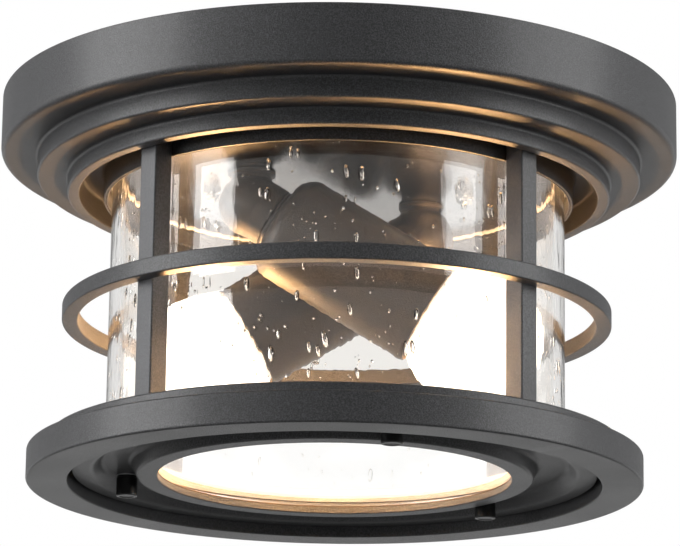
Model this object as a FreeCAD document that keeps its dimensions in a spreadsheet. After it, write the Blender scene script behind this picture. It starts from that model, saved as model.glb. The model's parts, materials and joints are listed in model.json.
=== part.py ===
import FreeCAD, Part
import math
import os

import Sketcher
from FreeCAD import Base, Placement, Rotation, Vector

# Porch ceiling lantern, in millimetres. The origin is the middle of the
# ceiling face, X runs to the right, Y away from the front, Z up.
# The lantern hangs below the ceiling, so its heights are drops below zero.

doc = FreeCAD.newDocument("PorchLantern")
sheet = doc.addObject("Spreadsheet::Sheet", "Sizes")
names = []

# The driving sizes: each is a plain number of its own. The widths run outwards
# from the glass, and the heights run down from the ceiling.
sizes = {
    # canopy
    "canopy_wall": 2.5,  # wall of the canopy pan
    "rim_width": 15,  # second step out to the edge of the rim
    "second_width": 12.6,  # third step out to the edge of the second
    "third_width": 4.9,  # recess out to the edge of the third step
    "recess_gap": 0.7,  # gap between a post and the wall of the recess
    "post_gap": 0.7,  # gap between the collar and a post
    "collar_wall": 1.7,  # wall of the collar round the glass
    "collar_gap": 1.6,  # gap between the glass and the collar
    "rim_gap": 0.5,  # the rim stops this far below the ceiling
    "rim_drop": 24.6,  # ceiling to the underside of the rim
    "second_drop": 33.4,  # ceiling to the underside of the second step
    "third_drop": 40.2,  # ceiling to the underside of the third step
    "recess_drop": 30,  # ceiling to the floor of the recess that takes the posts
    "collar_drop": 42.2,  # ceiling to the lip of the collar
    "seat_drop": 34.5,  # ceiling to the face that the glass seals on
    "rim_round": 2.6,  # rounding of the rim's lower edge
    "step_round": 1.3,  # rounding of the lower edges of the steps
    "corner_round": 3,  # fillet in the inner corners of the steps
    "recess_round": 1.6,  # fillet at the outer corner of the recess
    "root_round": 5,  # fillet at the root of the collar
    # ceiling fixings
    "slot_spacing": 79.4,  # spacing of the two slots in the crossbar
    "slot_length": 14,  # length of each slot, end to end
    "slot_width": 4.6,  # width of each slot
    "stud_offset": 12.3,  # middle of a slot to the stud outside it
    "bar_end": 8,  # a stud to the end of the crossbar
    "bar_width": 25,  # width of the crossbar
    "bar_thick": 2,  # thickness of the crossbar
    "stud_radius": 1.95,  # radius of a stud
    "stud_play": 0.45,  # clearance of a stud in the canopy and the plate
    "stud_grip": 4.1,  # how far a stud reaches into its cap nut
    "thread_fit": 0.05,  # clearance of a screw in its thread
    "nut_flats": 7,  # width of the small nuts across their flats
    "nut_height": 3.2,  # height of the small nuts
    "cap_hex": 3,  # height of the hexagon of a cap nut
    "cap_dome": 3.2,  # radius of the dome of a cap nut
    "foam_width": 4.5,  # width of the foam ring against the ceiling
    "foam_height": 5,  # height of the foam ring
    "glue_gap": 0.1,  # glue between the foam ring and the rim
    "earth_x": 20,  # distance of the earth screw from the middle
    "earth_radius": 1.7,  # radius of the earth screw
    "earth_head": 3.4,  # radius of the earth screw's head
    "earth_head_height": 2.2,  # height of the earth screw's head
    # reflector plate, glass and its gaskets
    "glass_radius": 93,  # outer radius of the glass cylinder
    "glass_wall": 4,  # wall of the glass cylinder
    "glass_length": 105,  # height of the glass cylinder
    "glass_round": 0.8,  # rounding of the ends of the glass wall
    "gasket_thick": 1.5,  # thickness of the two glass gaskets
    "gasket_lip": 0.6,  # how far a glass gasket reaches past the glass wall
    "plate_gap": 0.8,  # gap between the reflector plate and the upper gasket
    "plate_thick": 1,  # thickness of the reflector plate
    # cage: posts and rings
    "post_count": 4,  # number of posts
    "post_turn": 45,  # turn of the first post from the X axis, in degrees
    "post_side": 8.8,  # side of a square post
    "post_chamfer": 0.5,  # chamfer along the edges of a post
    "post_play": 0.05,  # clearance round a post in its sockets
    "hoop_sink": 0.3,  # how deep the posts stand in the middle ring
    "hoop_width": 6.5,  # width of the middle ring
    "hoop_height": 6.7,  # height of the middle ring
    "hoop_drop": 87.1,  # ceiling to the top of the middle ring
    "base_lip": 7,  # how far the base ring reaches in past the glass
    "base_thick": 5,  # thickness of the base ring
    "base_inset": 8,  # the base ring's edge stands this far inside the band's
    "base_round": 0.8,  # rounding of the top edge of the base ring
    "band_width": 16.6,  # width of the bottom band
    "band_height": 12.5,  # height of the bottom band
    "band_round": 1,  # rounding of the outer edges of the bottom band
    "screw_radius": 1.95,  # radius of the post and band screws
    "screw_length": 12,  # length of a post or band screw
    "screw_head": 3.8,  # radius of the head of a post or band screw
    "pan_height": 2.6,  # height of the heads inside the canopy
    "flush_height": 2,  # depth of a countersunk head
    "tap_extra": 2,  # a threaded hole runs this much past its screw
    "screw_play": 0.25,  # clearance of a screw in a free hole
    # socket cups, elbows and lamps
    "cup_tilt": 31.3,  # the cups point this far below the level, in degrees
    "cup_gap": 2.5,  # gap between the two cups
    "cup_radius": 22.25,  # outer radius of a cup
    "cup_wall": 1,  # wall of a cup
    "cup_length": 72,  # length of a cup
    "cup_round": 8,  # rounding of a cup's rear shoulder
    "elbow_radius": 12.5,  # radius of the elbow
    "elbow_neck": 0.5,  # the elbow's straight part before the cup
    "elbow_stub": 0.84,  # the elbow's straight part below the plate
    "spigot_radius": 5.1,  # radius of the spigot that carries the cup
    "spigot_length": 6,  # length of that spigot
    "spigot_play": 0.1,  # clearance round the spigot
    "wire_bore": 3.2,  # radius of the wire way through the elbow
    "nipple_radius": 5,  # outer radius of the threaded nipple
    "nipple_bore": 3.4,  # bore radius of the nipple
    "nipple_depth": 8,  # the nipple reaches this far into the elbow
    "nipple_rise": 4.5,  # the nipple stands this far over the canopy floor
    "nipple_play": 0.2,  # clearance of the nipple in the floor and the plate
    "big_nut_flats": 13,  # width of the nipple nut across its flats
    "big_nut_height": 3.5,  # height of the nipple nut
    "socket_gap": 2.25,  # gap between the lampholder and the cup
    "socket_bore": 14,  # radius of the lampholder's bore
    "socket_depth": 52.7,  # mouth of the cup to the end of that bore
    "socket_lip": 1,  # the lampholder starts this far before its shell
    "socket_wall": 7.3,  # end of the bore to the wire pocket behind it
    "heel_gap": 0.85,  # gap between the lampholder's heel and the cup's curve
    "shell_wall": 0.75,  # wall of the brass screw shell
    "shell_play": 0.05,  # clearance of the shell in the lampholder
    "shell_length": 23,  # length of the shell
    "shell_back": 2.7,  # the shell stops this far before the end of the bore
    "tongue_length": 18,  # length of the contact tongue
    "tongue_width": 7,  # width of the contact tongue
    "tongue_thick": 0.8,  # thickness of the contact tongue
    "lamp_radius": 27.5,  # radius of the lamp's globe
    "lamp_gap": 2,  # gap between the globe and the glass cylinder
    "lamp_centre": 20,  # the globe's middle is this far outside the mouth
    "lamp_lean": 35,  # slope between the globe and the neck, in degrees
    "lamp_blend": 14,  # radius of the hollow curve at the neck
    "lamp_wall": 0.9,  # wall of the lamp's glass
    "neck_step": 0.3,  # the lamp's neck is this much wider than its base
    "base_length": 23.5,  # length of the lamp's base
    "base_fit": 0.1,  # clearance of the lamp's base in the shell
    "tip_width": 10.5,  # radius of the insulator under the contact
    "tip_step": 1,  # height of that insulator
    "tip_radius": 4.6,  # radius of the lamp's contact
    "tip_height": 0.8,  # height of the lamp's contact
    "tip_gap": 0.1,  # gap between the contact and the tongue
    # wiring inside the canopy
    "block_length": 34,  # length of the terminal block
    "block_width": 16,  # width of the terminal block
    "block_height": 14,  # height of the terminal block
    "block_chamfer": 1.5,  # chamfer along the top of the terminal block
    "lead_radius": 1.3,  # radius of a lamp lead
    "earth_lead_radius": 1,  # radius of the earth lead
    "lead_entry_x": 12,  # where a lamp lead enters the block, along X
    "lead_entry_y": 4,  # where a lamp lead enters the block, along Y
    "lead_high_drop": 9,  # ceiling to the level run of the leads
    "lead_bend": 7,  # bend radius of the lamp leads
    "lead_end_bend": 3.5,  # bend radius where a lead drops to the block
    "earth_bend": 2.2,  # bend radius of the earth lead
    # door with its window
    "pane_inset": 12.4,  # the window's edge stands this far inside the glass wall
    "pane_thick": 3,  # thickness of the window glass
    "pane_play": 0.5,  # clearance round the window glass
    "pad_thick": 0.5,  # thickness of the gasket under the window
    "ledge_width": 5.1,  # how far the ledge reaches under the window
    "ledge_thick": 2.8,  # thickness of the ledge under the window
    "frame_wall": 3.1,  # wall of the window ring
    "frame_slope": 2.8,  # width of the slope outside the window ring
    "channel_width": 11,  # width of the channel
    "flange_slope": 4,  # width of the slope from the channel to the flange
    "flange_width": 8,  # width of the door's flange
    "door_gap": 1.9,  # gap between the door and the bottom band
    "door_wall": 1.8,  # wall of the door
    "channel_step": 3.4,  # base ring to the underside of the channel
    "flange_step": 8,  # base ring to the underside of the flange
    "clip_cover": 0.55,  # wall over the snap ring's groove
    "clip_thick": 0.7,  # thickness of the snap ring
    "clip_width": 3,  # width of the snap ring
    "clip_groove": 0.8,  # depth of the snap ring's groove
    "clip_play": 0.05,  # clearance of the snap ring in its groove
    "clip_open": 16,  # width of the gap in the snap ring
    "door_bend": 2.2,  # bend radius of the door's curves
    "frame_round": 0.9,  # rounding of the window ring
    "seal_width": 3,  # width of the seal on the door
    "seal_inset": 0.5,  # the seal starts this far outside the opening
    # thumb screws
    "thumb_count": 3,  # number of thumb screws
    "thumb_turn": 44.2,  # turn of the first thumb screw, in degrees
    "thumb_radius": 4.35,  # radius of a knob
    "thumb_height": 8.5,  # height of a knob
    "thumb_round": 0.5,  # rounding of a knob's lower edge
    "thumb_shank": 1.95,  # radius of a thumb screw's shank
    "thumb_grip": 4,  # how far a shank reaches into the base ring
    "thumb_play": 0.35,  # clearance of a shank in the door
    "thumb_hole_extra": 0.3,  # the blind hole runs this much past the shank
    "washer_radius": 4.3,  # radius of the washer under a knob
    "washer_thick": 0.5,  # thickness of that washer
    "washer_play": 0.15,  # clearance of the shank in the washer
}

# Sizes that follow from others by a short formula.
formulas = {
    # radii from the glass outwards
    "glass_bore": "glass_radius - glass_wall",  # inner radius of the glass
    "gasket_outer": "glass_radius + gasket_lip",  # outer radius of the glass gaskets
    "gasket_inner": "glass_bore - gasket_lip",  # inner radius of the glass gaskets
    "plate_radius": "gasket_inner - plate_gap",  # radius of the reflector plate
    "collar_bore": "glass_radius + collar_gap",  # inner radius of the collar
    "collar_radius": "collar_bore + collar_wall",  # outer radius of the collar
    "shoulder_radius": "collar_bore - collar_wall",  # inner radius over the collar
    "half_post": "post_side / 2",  # half the side of a post
    "post_in": "collar_radius + post_gap",  # radius of the inner face of a post
    "post_radius": "post_in + half_post",  # radius of the circle through the posts
    "post_out": "post_radius + half_post",  # radius of the outer face of a post
    "recess_radius": "post_out + recess_gap",  # radius of the recess
    "third_radius": "recess_radius + third_width",  # outer radius of the third step
    "second_radius": "third_radius + second_width",  # outer radius of the second step
    "canopy_radius": "second_radius + rim_width",  # outer radius of the canopy rim
    "rim_inside": "canopy_radius - canopy_wall",  # inner radius of the rim
    "second_inside": "second_radius - canopy_wall",  # inner radius of the second step
    "third_inside": "third_radius - canopy_wall",  # inner radius beside the third step
    "hoop_bore": "post_out - hoop_sink",  # inner radius of the middle ring
    "hoop_radius": "hoop_bore + hoop_width",  # outer radius of the middle ring
    "base_bore": "glass_bore - base_lip",  # radius of the opening in the base ring
    # canopy heights
    "rim_z": "-rim_gap",  # height of the top of the rim
    "rim_under_z": "-rim_drop",  # height of the underside of the rim
    "second_z": "-second_drop",  # height of the underside of the second step
    "third_z": "-third_drop",  # height of the underside of the third step
    "recess_z": "-recess_drop",  # height of the recess floor
    "collar_z": "-collar_drop",  # height of the collar lip
    "seat_z": "-seat_drop",  # height of the glass seat
    "rim_roof_z": "rim_under_z + canopy_wall",  # inner face over the rim's underside
    "second_roof_z": "second_z + canopy_wall",  # inner face over the second step
    "recess_roof_z": "recess_z + canopy_wall",  # inner face over the recess
    "floor_z": "seat_z + canopy_wall",  # inner face of the canopy floor
    # reflector plate, glass and its gaskets
    "plate_z": "seat_z - plate_thick",  # height of the lower face of the plate
    "glass_top_z": "seat_z - gasket_thick",  # height of the top of the glass
    "glass_end_z": "glass_top_z - glass_length",  # height of the lower end of the glass
    "base_top_z": "glass_end_z - gasket_thick",  # height of the top of the base ring
    # ceiling fixings
    "slot_x": "slot_spacing / 2",  # distance of a slot from the middle
    "slot_run": "slot_length / 2 - slot_width / 2",  # half the straight run of a slot
    "stud_x": "slot_x + stud_offset",  # distance of a stud from the middle
    "bar_length": "2 * stud_x + 2 * bar_end",  # length of the crossbar
    "bar_under_z": "-bar_thick",  # height of the underside of the crossbar
    "stud_hole": "stud_radius + thread_fit",  # radius of a threaded stud hole
    "stud_clear": "stud_radius + stud_play",  # radius of a free stud hole
    "stud_end_z": "plate_z - stud_grip",  # height of the lower end of a stud
    "foam_outer": "rim_inside - glue_gap",  # outer radius of the foam ring
    "foam_inner": "foam_outer - foam_width",  # inner radius of the foam ring
    "foam_z": "-foam_height",  # height of the lower face of the foam ring
    # door with its window
    "pane_radius": "glass_bore - pane_inset",  # radius of the window glass
    "pocket_radius": "pane_radius + pane_play",  # radius of the window's pocket
    "frame_in": "pane_radius - ledge_width",  # inner radius of the window ring
    "frame_out": "pocket_radius + frame_wall",  # outer radius of the window ring
    "channel_in": "frame_out + frame_slope",  # inner radius of the channel
    "channel_out": "channel_in + channel_width",  # outer radius of the channel
    "flange_in": "channel_out + flange_slope",  # inner radius of the door's flange
    "door_radius": "flange_in + flange_width",  # outer radius of the door
    "band_bore": "door_radius + door_gap",  # inner radius of the bottom band
    "band_radius": "band_bore + band_width",  # outer radius of the bottom band
    "base_radius": "band_radius - base_inset",  # outer radius of the base ring
    "slope_shift": "door_wall / 2",  # the upper face of the curve lies this far out
    "channel_out_top": "channel_out + slope_shift",  # outer radius of the channel's top
    "flange_in_top": "flange_in + slope_shift",  # inner radius of the flange's top
    "base_z": "base_top_z - base_thick",  # height of the underside of the base ring
    "band_z": "base_z - band_height",  # height of the underside of the bottom band
    "flange_z": "base_z - flange_step",  # height of the underside of the flange
    "channel_z": "base_z - channel_step",  # height of the underside of the channel
    "door_top_z": "channel_z + door_wall",  # height of the door's upper face
    "flange_top_z": "flange_z + door_wall",  # height of the top of the flange
    "groove_top_z": "door_top_z - clip_cover",  # height of the top of the groove
    "clip_top_z": "groove_top_z - clip_play",  # height of the top of the snap ring
    "pane_top_z": "clip_top_z - clip_thick",  # height of the upper face of the window
    "pane_low_z": "pane_top_z - pane_thick",  # height of the lower face of the window
    "ledge_z": "pane_low_z - pad_thick",  # height of the ledge under the window
    "frame_z": "ledge_z - ledge_thick",  # height of the underside of the window ring
    "groove_radius": "pocket_radius + clip_groove",  # radius of the groove
    "clip_outer": "groove_radius - clip_play",  # outer radius of the snap ring
    "clip_inner": "clip_outer - clip_width",  # inner radius of the snap ring
    "seal_in": "base_bore + seal_inset",  # inner radius of the seal
    "seal_out": "seal_in + seal_width",  # outer radius of the seal
    # cage: posts and rings
    "post_step": "360 / post_count",  # turn from one post to the next
    "post_length": "recess_z - base_top_z",  # length of a post
    "socket_side": "post_side + 2 * post_play",  # side of a socket round a post
    "socket_half": "socket_side / 2",  # half of that side
    "socket_in": "post_radius - socket_half",  # inner face of that socket
    "socket_height": "recess_z - collar_z",  # the sockets are cut over this height
    "hoop_z": "-hoop_drop",  # height of the top of the middle ring
    "hoop_under_z": "hoop_z - hoop_height",  # height of the underside of the middle ring
    "tap_radius": "screw_radius + thread_fit",  # radius of a threaded hole
    "free_radius": "screw_radius + screw_play",  # radius of a free hole
    "tap_depth": "screw_length + tap_extra",  # depth of a threaded hole
    "sunk_head": "screw_head + thread_fit",  # radius of a countersink at the face
    "band_screw_radius": "(band_bore + base_radius) / 2",  # circle of the band screws
    # socket cups, elbows and lamps
    "cup_y": "cup_radius + cup_gap / 2",  # distance of a cup's axis from the middle
    "cup_inside": "cup_radius - cup_wall",  # inner radius of a cup
    "cup_back": "cup_length - cup_wall",  # mouth to the inner face of a cup's back
    "cup_inner_round": "cup_round - cup_wall",  # rounding inside the shoulder
    "globe_reach": "glass_bore - lamp_gap - lamp_radius",  # middle to a globe's middle
    "globe_x": "sqrt(globe_reach * globe_reach - cup_y * cup_y)",  # the same, along X
    "mouth_x": "globe_x - lamp_centre * cos(cup_tilt)",  # middle to a mouth, along X
    "neck_length": "elbow_radius + elbow_neck",  # elbow middle to the cup
    "stub_height": "elbow_radius + elbow_stub",  # elbow middle to the plate
    "elbow_reach": "cup_length + neck_length",  # mouth to the middle of the elbow
    "elbow_x": "elbow_reach * cos(cup_tilt) - mouth_x",  # distance of an elbow along X
    "elbow_z": "plate_z - stub_height",  # height of the middle of an elbow
    "mouth_z": "elbow_z - elbow_reach * sin(cup_tilt)",  # height of the middle of a mouth
    "spigot_end": "neck_length + spigot_length",  # elbow middle to the spigot's end
    "spigot_hole": "spigot_radius + spigot_play",  # radius of the holes for the spigot
    "nipple_hole": "nipple_radius + nipple_play",  # radius of the nipple's holes
    "nipple_tap": "nipple_radius + thread_fit",  # radius of the nipple's thread
    "nipple_end_z": "plate_z - nipple_depth",  # height of the nipple's lower end
    "nipple_top_z": "floor_z + nipple_rise",  # height of the nipple's upper end
    "socket_radius": "cup_inside - socket_gap",  # outer radius of the lampholder
    "heel_radius": "cup_inside - cup_inner_round - heel_gap",  # radius of its heel
    "wire_pocket": "socket_depth + socket_wall",  # mouth to the end of the rear pocket
    "shell_outer": "socket_bore - shell_play",  # outer radius of the shell
    "shell_inner": "shell_outer - shell_wall",  # inner radius of the shell
    "shell_end": "socket_depth - shell_back",  # mouth to the rear of the shell
    "shell_start": "shell_end - shell_length",  # mouth to the front of the shell
    "socket_front": "shell_start - socket_lip",  # mouth to the front of the lampholder
    "tongue_z": "socket_depth - tongue_thick",  # mouth to the tongue
    "tip_end": "tongue_z - tip_gap",  # mouth to the end of the contact
    "tip_start": "tip_end - tip_height",  # mouth to the end of the insulator
    "base_end": "tip_start - tip_step",  # mouth to the end of the lamp's base
    "base_start": "base_end - base_length",  # mouth to the start of the lamp's base
    "lamp_base": "shell_inner - base_fit",  # radius of the lamp's base
    "lamp_neck": "lamp_base + neck_step",  # radius of the lamp's neck
    "globe_z": "-lamp_centre",  # place of the globe's middle on the cup's axis
    "waist_radius": "lamp_radius * cos(lamp_lean)",  # globe radius where the slope starts
    "waist_z": "globe_z + lamp_radius * sin(lamp_lean)",  # where that slope starts
    "slope_length": "(waist_radius - lamp_neck) / tan(lamp_lean)",  # length of that slope
    "slope_end_z": "waist_z + slope_length",  # where that slope ends
    "neck_run": "base_start - slope_end_z",  # length of the straight neck
    "lamp_hollow": "lamp_radius - lamp_wall",  # inner radius of the globe
    "waist_hollow": "waist_radius - lamp_wall",  # inner radius where the slope starts
    "neck_hollow": "lamp_neck - lamp_wall",  # inner radius of the neck
    # wiring inside the canopy
    "block_top_z": "floor_z + block_height",  # height of the top of the terminal block
    "lead_high_z": "-lead_high_drop",  # height of the level run of the leads
    "earth_head_z": "bar_under_z - earth_head_height",  # height of the earth screw's head
    # thumb screws
    "thumb_circle": "channel_in + channel_width / 2",  # circle of the thumb screws
    "thumb_step": "360 / thumb_count",  # turn from one thumb screw to the next
    "thumb_hole": "thumb_shank + thread_fit",  # radius of the threaded hole
    "thumb_hole_depth": "thumb_grip + thumb_hole_extra",  # depth of the threaded hole
    "thumb_free": "thumb_shank + thumb_play",  # radius of the hole in the door
    "washer_z": "channel_z - washer_thick",  # height of the washer's lower face
    "washer_hole": "thumb_shank + washer_play",  # radius of the hole in the washer
    "knob_z": "washer_z - thumb_height",  # height of the lower end of a knob
    "shank_length": "base_z + thumb_grip - washer_z",  # length of a shank
}


def write_row(name, content):
    """Give the next row of the table a name and its content, as text."""
    names.append(name)
    row = str(len(names))
    sheet.set("A" + row, name)
    sheet.set("B" + row, content)
    sheet.setAlias("B" + row, name)


for name, number in sizes.items():
    write_row(name, str(number))
for name, formula in formulas.items():
    write_row(name, "=" + formula)
doc.recompute()

AXIS = "axis"


def value(name):
    """The number behind a size; AXIS stands for zero."""
    if name == AXIS:
        return 0.0
    return float(getattr(sheet, name))


def same(first, second):
    """True where two lengths differ by less than the kernel's own precision."""
    return abs(first - second) < Base.Precision.approximation()


def bind(thing, prop, name):
    """Tie one property of a feature to a size or to a short formula of sizes."""
    thing.setExpression(prop, name)


def piece(label):
    """A new body; its label is the name of the piece."""
    body = doc.addObject("PartDesign::Body", label)
    body.Label = label
    return body


def base_plane(body, role):
    """One of a body's own base planes or axes, found by its role."""
    for feature in body.Origin.OriginFeatures:
        if feature.Role == role:
            return feature


def new_sketch(body, name, role):
    """An empty sketch on one of the body's base planes."""
    sketch = body.newObject("Sketcher::SketchObject", name)
    sketch.AttachmentSupport = [(base_plane(body, role), "")]
    sketch.MapMode = "FlatFace"
    return sketch


def place(sketch, index, point, kind, axis_line, name):
    """Tie one coordinate of one point of a sketch to a size."""
    if name == AXIS:
        sketch.addConstraint(Sketcher.Constraint("PointOnObject", index, point, axis_line))
        return
    mark = sketch.addConstraint(Sketcher.Constraint(kind, index, point, value(name)))
    sketch.setExpression("Constraints[%d]" % mark, "Sizes." + name)


def outline(body, name, role, corners):
    """A closed outline of straight edges; each corner is a pair of sizes."""
    sketch = new_sketch(body, name, role)
    spots = [Vector(value(across), value(up), 0) for across, up in corners]
    ends = spots[1:] + spots[:1]
    sketch.addGeometry([Part.LineSegment(a, b) for a, b in zip(spots, ends)], False)
    for index in range(len(corners)):
        following = (index + 1) % len(corners)
        sketch.addConstraint(Sketcher.Constraint("Coincident", index, 2, following, 1))
    for index, (across, up) in enumerate(corners):
        place(sketch, index, 1, "DistanceX", -2, across)
        place(sketch, index, 1, "DistanceY", -1, up)
    return sketch


def spin(body, name, corners):
    """A full turn about Z of an outline drawn in the XZ plane."""
    turned = body.newObject("PartDesign::Revolution", name)
    turned.Profile = outline(body, name + "_outline", "XZ_Plane", corners)
    turned.ReferenceAxis = (base_plane(body, "Z_Axis"), [""])
    turned.Angle = 360
    doc.recompute()
    return turned


def ring(label, outer, inner, low, high):
    """A plain ring between two radii and two heights."""
    body = piece(label)
    spin(body, label + "_ring", [(inner, low), (outer, low), (outer, high), (inner, high)])
    return body


def circle_edges(feature, corners):
    """Names of the circles that lie at the given pairs of radius and height."""
    found = []
    for number, edge in enumerate(feature.Shape.Edges, 1):
        if edge.Degenerated or not isinstance(edge.Curve, Part.Circle):
            continue
        for radius, height in corners:
            same_radius = same(edge.Curve.Radius, value(radius))
            same_height = same(edge.Curve.Center.z, value(height))
            if same_radius and same_height:
                found.append("Edge%d" % number)
    return found


def round_off(body, name, corners, radius):
    """Fillet the circles at the given corners of the body's last feature."""
    before = body.Tip
    fillet = body.newObject("PartDesign::Fillet", name)
    fillet.Base = (before, circle_edges(before, corners))
    bind(fillet, "Radius", "Sizes." + radius)
    doc.recompute()
    return fillet


def drum(body, name, cut, radius, height, x="0", y="0", z="0"):
    """A cylinder along Z, added or cut; its place is given by formulas."""
    kind = "PartDesign::SubtractiveCylinder" if cut else "PartDesign::AdditiveCylinder"
    solid = body.newObject(kind, name)
    bind(solid, "Radius", radius)
    bind(solid, "Height", height)
    bind(solid, "Placement.Base.x", x)
    bind(solid, "Placement.Base.y", y)
    bind(solid, "Placement.Base.z", z)
    return solid


def cone(body, name, cut, low, high, height, x="0", y="0", z="0"):
    """A cone along Z, added or cut, from the radius low to the radius high."""
    kind = "PartDesign::SubtractiveCone" if cut else "PartDesign::AdditiveCone"
    solid = body.newObject(kind, name)
    bind(solid, "Radius1", low)
    bind(solid, "Radius2", high)
    bind(solid, "Height", height)
    bind(solid, "Placement.Base.x", x)
    bind(solid, "Placement.Base.y", y)
    bind(solid, "Placement.Base.z", z)
    return solid


def turn_about(thing, axis, formula):
    """Turn a feature or a body about one of its axes by a bound angle."""
    start = thing.Placement
    thing.Placement = Placement(start.Base, Rotation(axis, 30))
    bind(thing, "Placement.Rotation.Angle", formula)


def round_array(body, name, originals, count):
    """Repeat features evenly about Z."""
    array = body.newObject("PartDesign::PolarPattern", name)
    array.Originals = originals
    array.Axis = (base_plane(body, "Z_Axis"), [""])
    array.Angle = 360
    bind(array, "Occurrences", count)
    body.Tip = array
    doc.recompute()
    return array


def hexagon(body, name, flats, height, x, z):
    """A hexagonal prism along Z, from the height z up."""
    solid = body.newObject("PartDesign::AdditivePrism", name)
    solid.Polygon = 6
    bind(solid, "Circumradius", flats + " / 2 / cos(30)")
    bind(solid, "Height", height)
    bind(solid, "Placement.Base.x", x)
    bind(solid, "Placement.Base.z", z)
    return solid


POST_X = "Sizes.post_radius * cos(Sizes.post_turn)"
POST_Y = "Sizes.post_radius * sin(Sizes.post_turn)"
THUMB_X = "Sizes.thumb_circle * cos(Sizes.thumb_turn)"
THUMB_Y = "Sizes.thumb_circle * sin(Sizes.thumb_turn)"
UP = Vector(0, 0, 1)
ACROSS = Vector(0, 1, 0)

# ---- the canopy: a stepped pan with a recess and a collar ----------------
canopy = piece("canopy")
spin(canopy, "canopy_pan", [
    (AXIS, "seat_z"),
    ("collar_bore", "seat_z"),
    ("collar_bore", "collar_z"),
    ("collar_radius", "collar_z"),
    ("collar_radius", "recess_z"),
    ("recess_radius", "recess_z"),
    ("recess_radius", "third_z"),
    ("third_radius", "third_z"),
    ("third_radius", "second_z"),
    ("second_radius", "second_z"),
    ("second_radius", "rim_under_z"),
    ("canopy_radius", "rim_under_z"),
    ("canopy_radius", "rim_z"),
    ("rim_inside", "rim_z"),
    ("rim_inside", "rim_roof_z"),
    ("second_inside", "rim_roof_z"),
    ("second_inside", "second_roof_z"),
    ("third_inside", "second_roof_z"),
    ("third_inside", "recess_roof_z"),
    ("shoulder_radius", "recess_roof_z"),
    ("shoulder_radius", "floor_z"),
    (AXIS, "floor_z")])
round_off(canopy, "rim_edge", [("canopy_radius", "rim_under_z")], "rim_round")
round_off(canopy, "step_edges", [("second_radius", "second_z"), ("third_radius", "third_z")],
          "step_round")
round_off(canopy, "step_corners", [("second_radius", "rim_under_z"), ("third_radius", "second_z")],
          "corner_round")
round_off(canopy, "recess_corner", [("recess_radius", "recess_z")], "recess_round")
round_off(canopy, "collar_root", [("collar_radius", "recess_z")], "root_round")

# Square sockets through the fillets, so that the posts meet the recess floor.
post_socket = canopy.newObject("PartDesign::SubtractiveBox", "post_socket")
bind(post_socket, "Length", "Sizes.socket_side")
bind(post_socket, "Width", "Sizes.socket_side")
bind(post_socket, "Height", "Sizes.socket_height")
turn_about(post_socket, UP, "Sizes.post_turn")
bind(post_socket, "Placement.Base.x", "Sizes.socket_in * cos(Sizes.post_turn)"
     " + Sizes.socket_half * sin(Sizes.post_turn)")
bind(post_socket, "Placement.Base.y", "Sizes.socket_in * sin(Sizes.post_turn)"
     " - Sizes.socket_half * cos(Sizes.post_turn)")
bind(post_socket, "Placement.Base.z", "Sizes.recess_z - Sizes.socket_height")
round_array(canopy, "post_sockets", [post_socket], "Sizes.post_count")
post_hole = drum(canopy, "post_hole", True, "Sizes.free_radius", "Sizes.canopy_wall + 2",
                 POST_X, POST_Y, "Sizes.recess_z - 1")
round_array(canopy, "post_holes", [post_hole], "Sizes.post_count")
stud_way = drum(canopy, "stud_way", True, "Sizes.stud_clear", "Sizes.canopy_wall + 2",
                "Sizes.stud_x", "0", "Sizes.seat_z - 1")
round_array(canopy, "stud_ways", [stud_way], "2")
nipple_way = drum(canopy, "nipple_way", True, "Sizes.nipple_hole", "Sizes.canopy_wall + 2",
                  "-Sizes.elbow_x", "-Sizes.cup_y", "Sizes.seat_z - 1")
round_array(canopy, "nipple_ways", [nipple_way], "2")

# ---- ceiling fixings -----------------------------------------------------
ring("ceiling_gasket", "foam_outer", "foam_inner", "foam_z", AXIS)

crossbar = piece("crossbar")
bar = crossbar.newObject("PartDesign::AdditiveBox", "bar_plate")
bind(bar, "Length", "Sizes.bar_length")
bind(bar, "Width", "Sizes.bar_width")
bind(bar, "Height", "Sizes.bar_thick")
bind(bar, "Placement.Base.x", "-Sizes.bar_length / 2")
bind(bar, "Placement.Base.y", "-Sizes.bar_width / 2")
bind(bar, "Placement.Base.z", "Sizes.bar_under_z")
doc.recompute()
slot_middle = crossbar.newObject("PartDesign::SubtractiveBox", "slot_middle")
bind(slot_middle, "Length", "2 * Sizes.slot_run")
bind(slot_middle, "Width", "Sizes.slot_width")
bind(slot_middle, "Height", "Sizes.bar_thick + 2")
bind(slot_middle, "Placement.Base.x", "Sizes.slot_x - Sizes.slot_run")
bind(slot_middle, "Placement.Base.y", "-Sizes.slot_width / 2")
bind(slot_middle, "Placement.Base.z", "Sizes.bar_under_z - 1")
round_array(crossbar, "slot_middles", [slot_middle], "2")
slot_in = drum(crossbar, "slot_in", True, "Sizes.slot_width / 2", "Sizes.bar_thick + 2",
               "Sizes.slot_x - Sizes.slot_run", "0", "Sizes.bar_under_z - 1")
round_array(crossbar, "slot_ins", [slot_in], "2")
slot_out = drum(crossbar, "slot_out", True, "Sizes.slot_width / 2", "Sizes.bar_thick + 2",
                "Sizes.slot_x + Sizes.slot_run", "0", "Sizes.bar_under_z - 1")
round_array(crossbar, "slot_outs", [slot_out], "2")
bar_hole = drum(crossbar, "bar_hole", True, "Sizes.stud_hole", "Sizes.bar_thick + 2",
                "Sizes.stud_x", "0", "Sizes.bar_under_z - 1")
round_array(crossbar, "bar_holes", [bar_hole], "2")
earth_hole = drum(crossbar, "earth_hole", True, "Sizes.earth_radius + Sizes.thread_fit",
                  "Sizes.bar_thick + 2", "Sizes.earth_x", "0", "Sizes.bar_under_z - 1")

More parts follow.
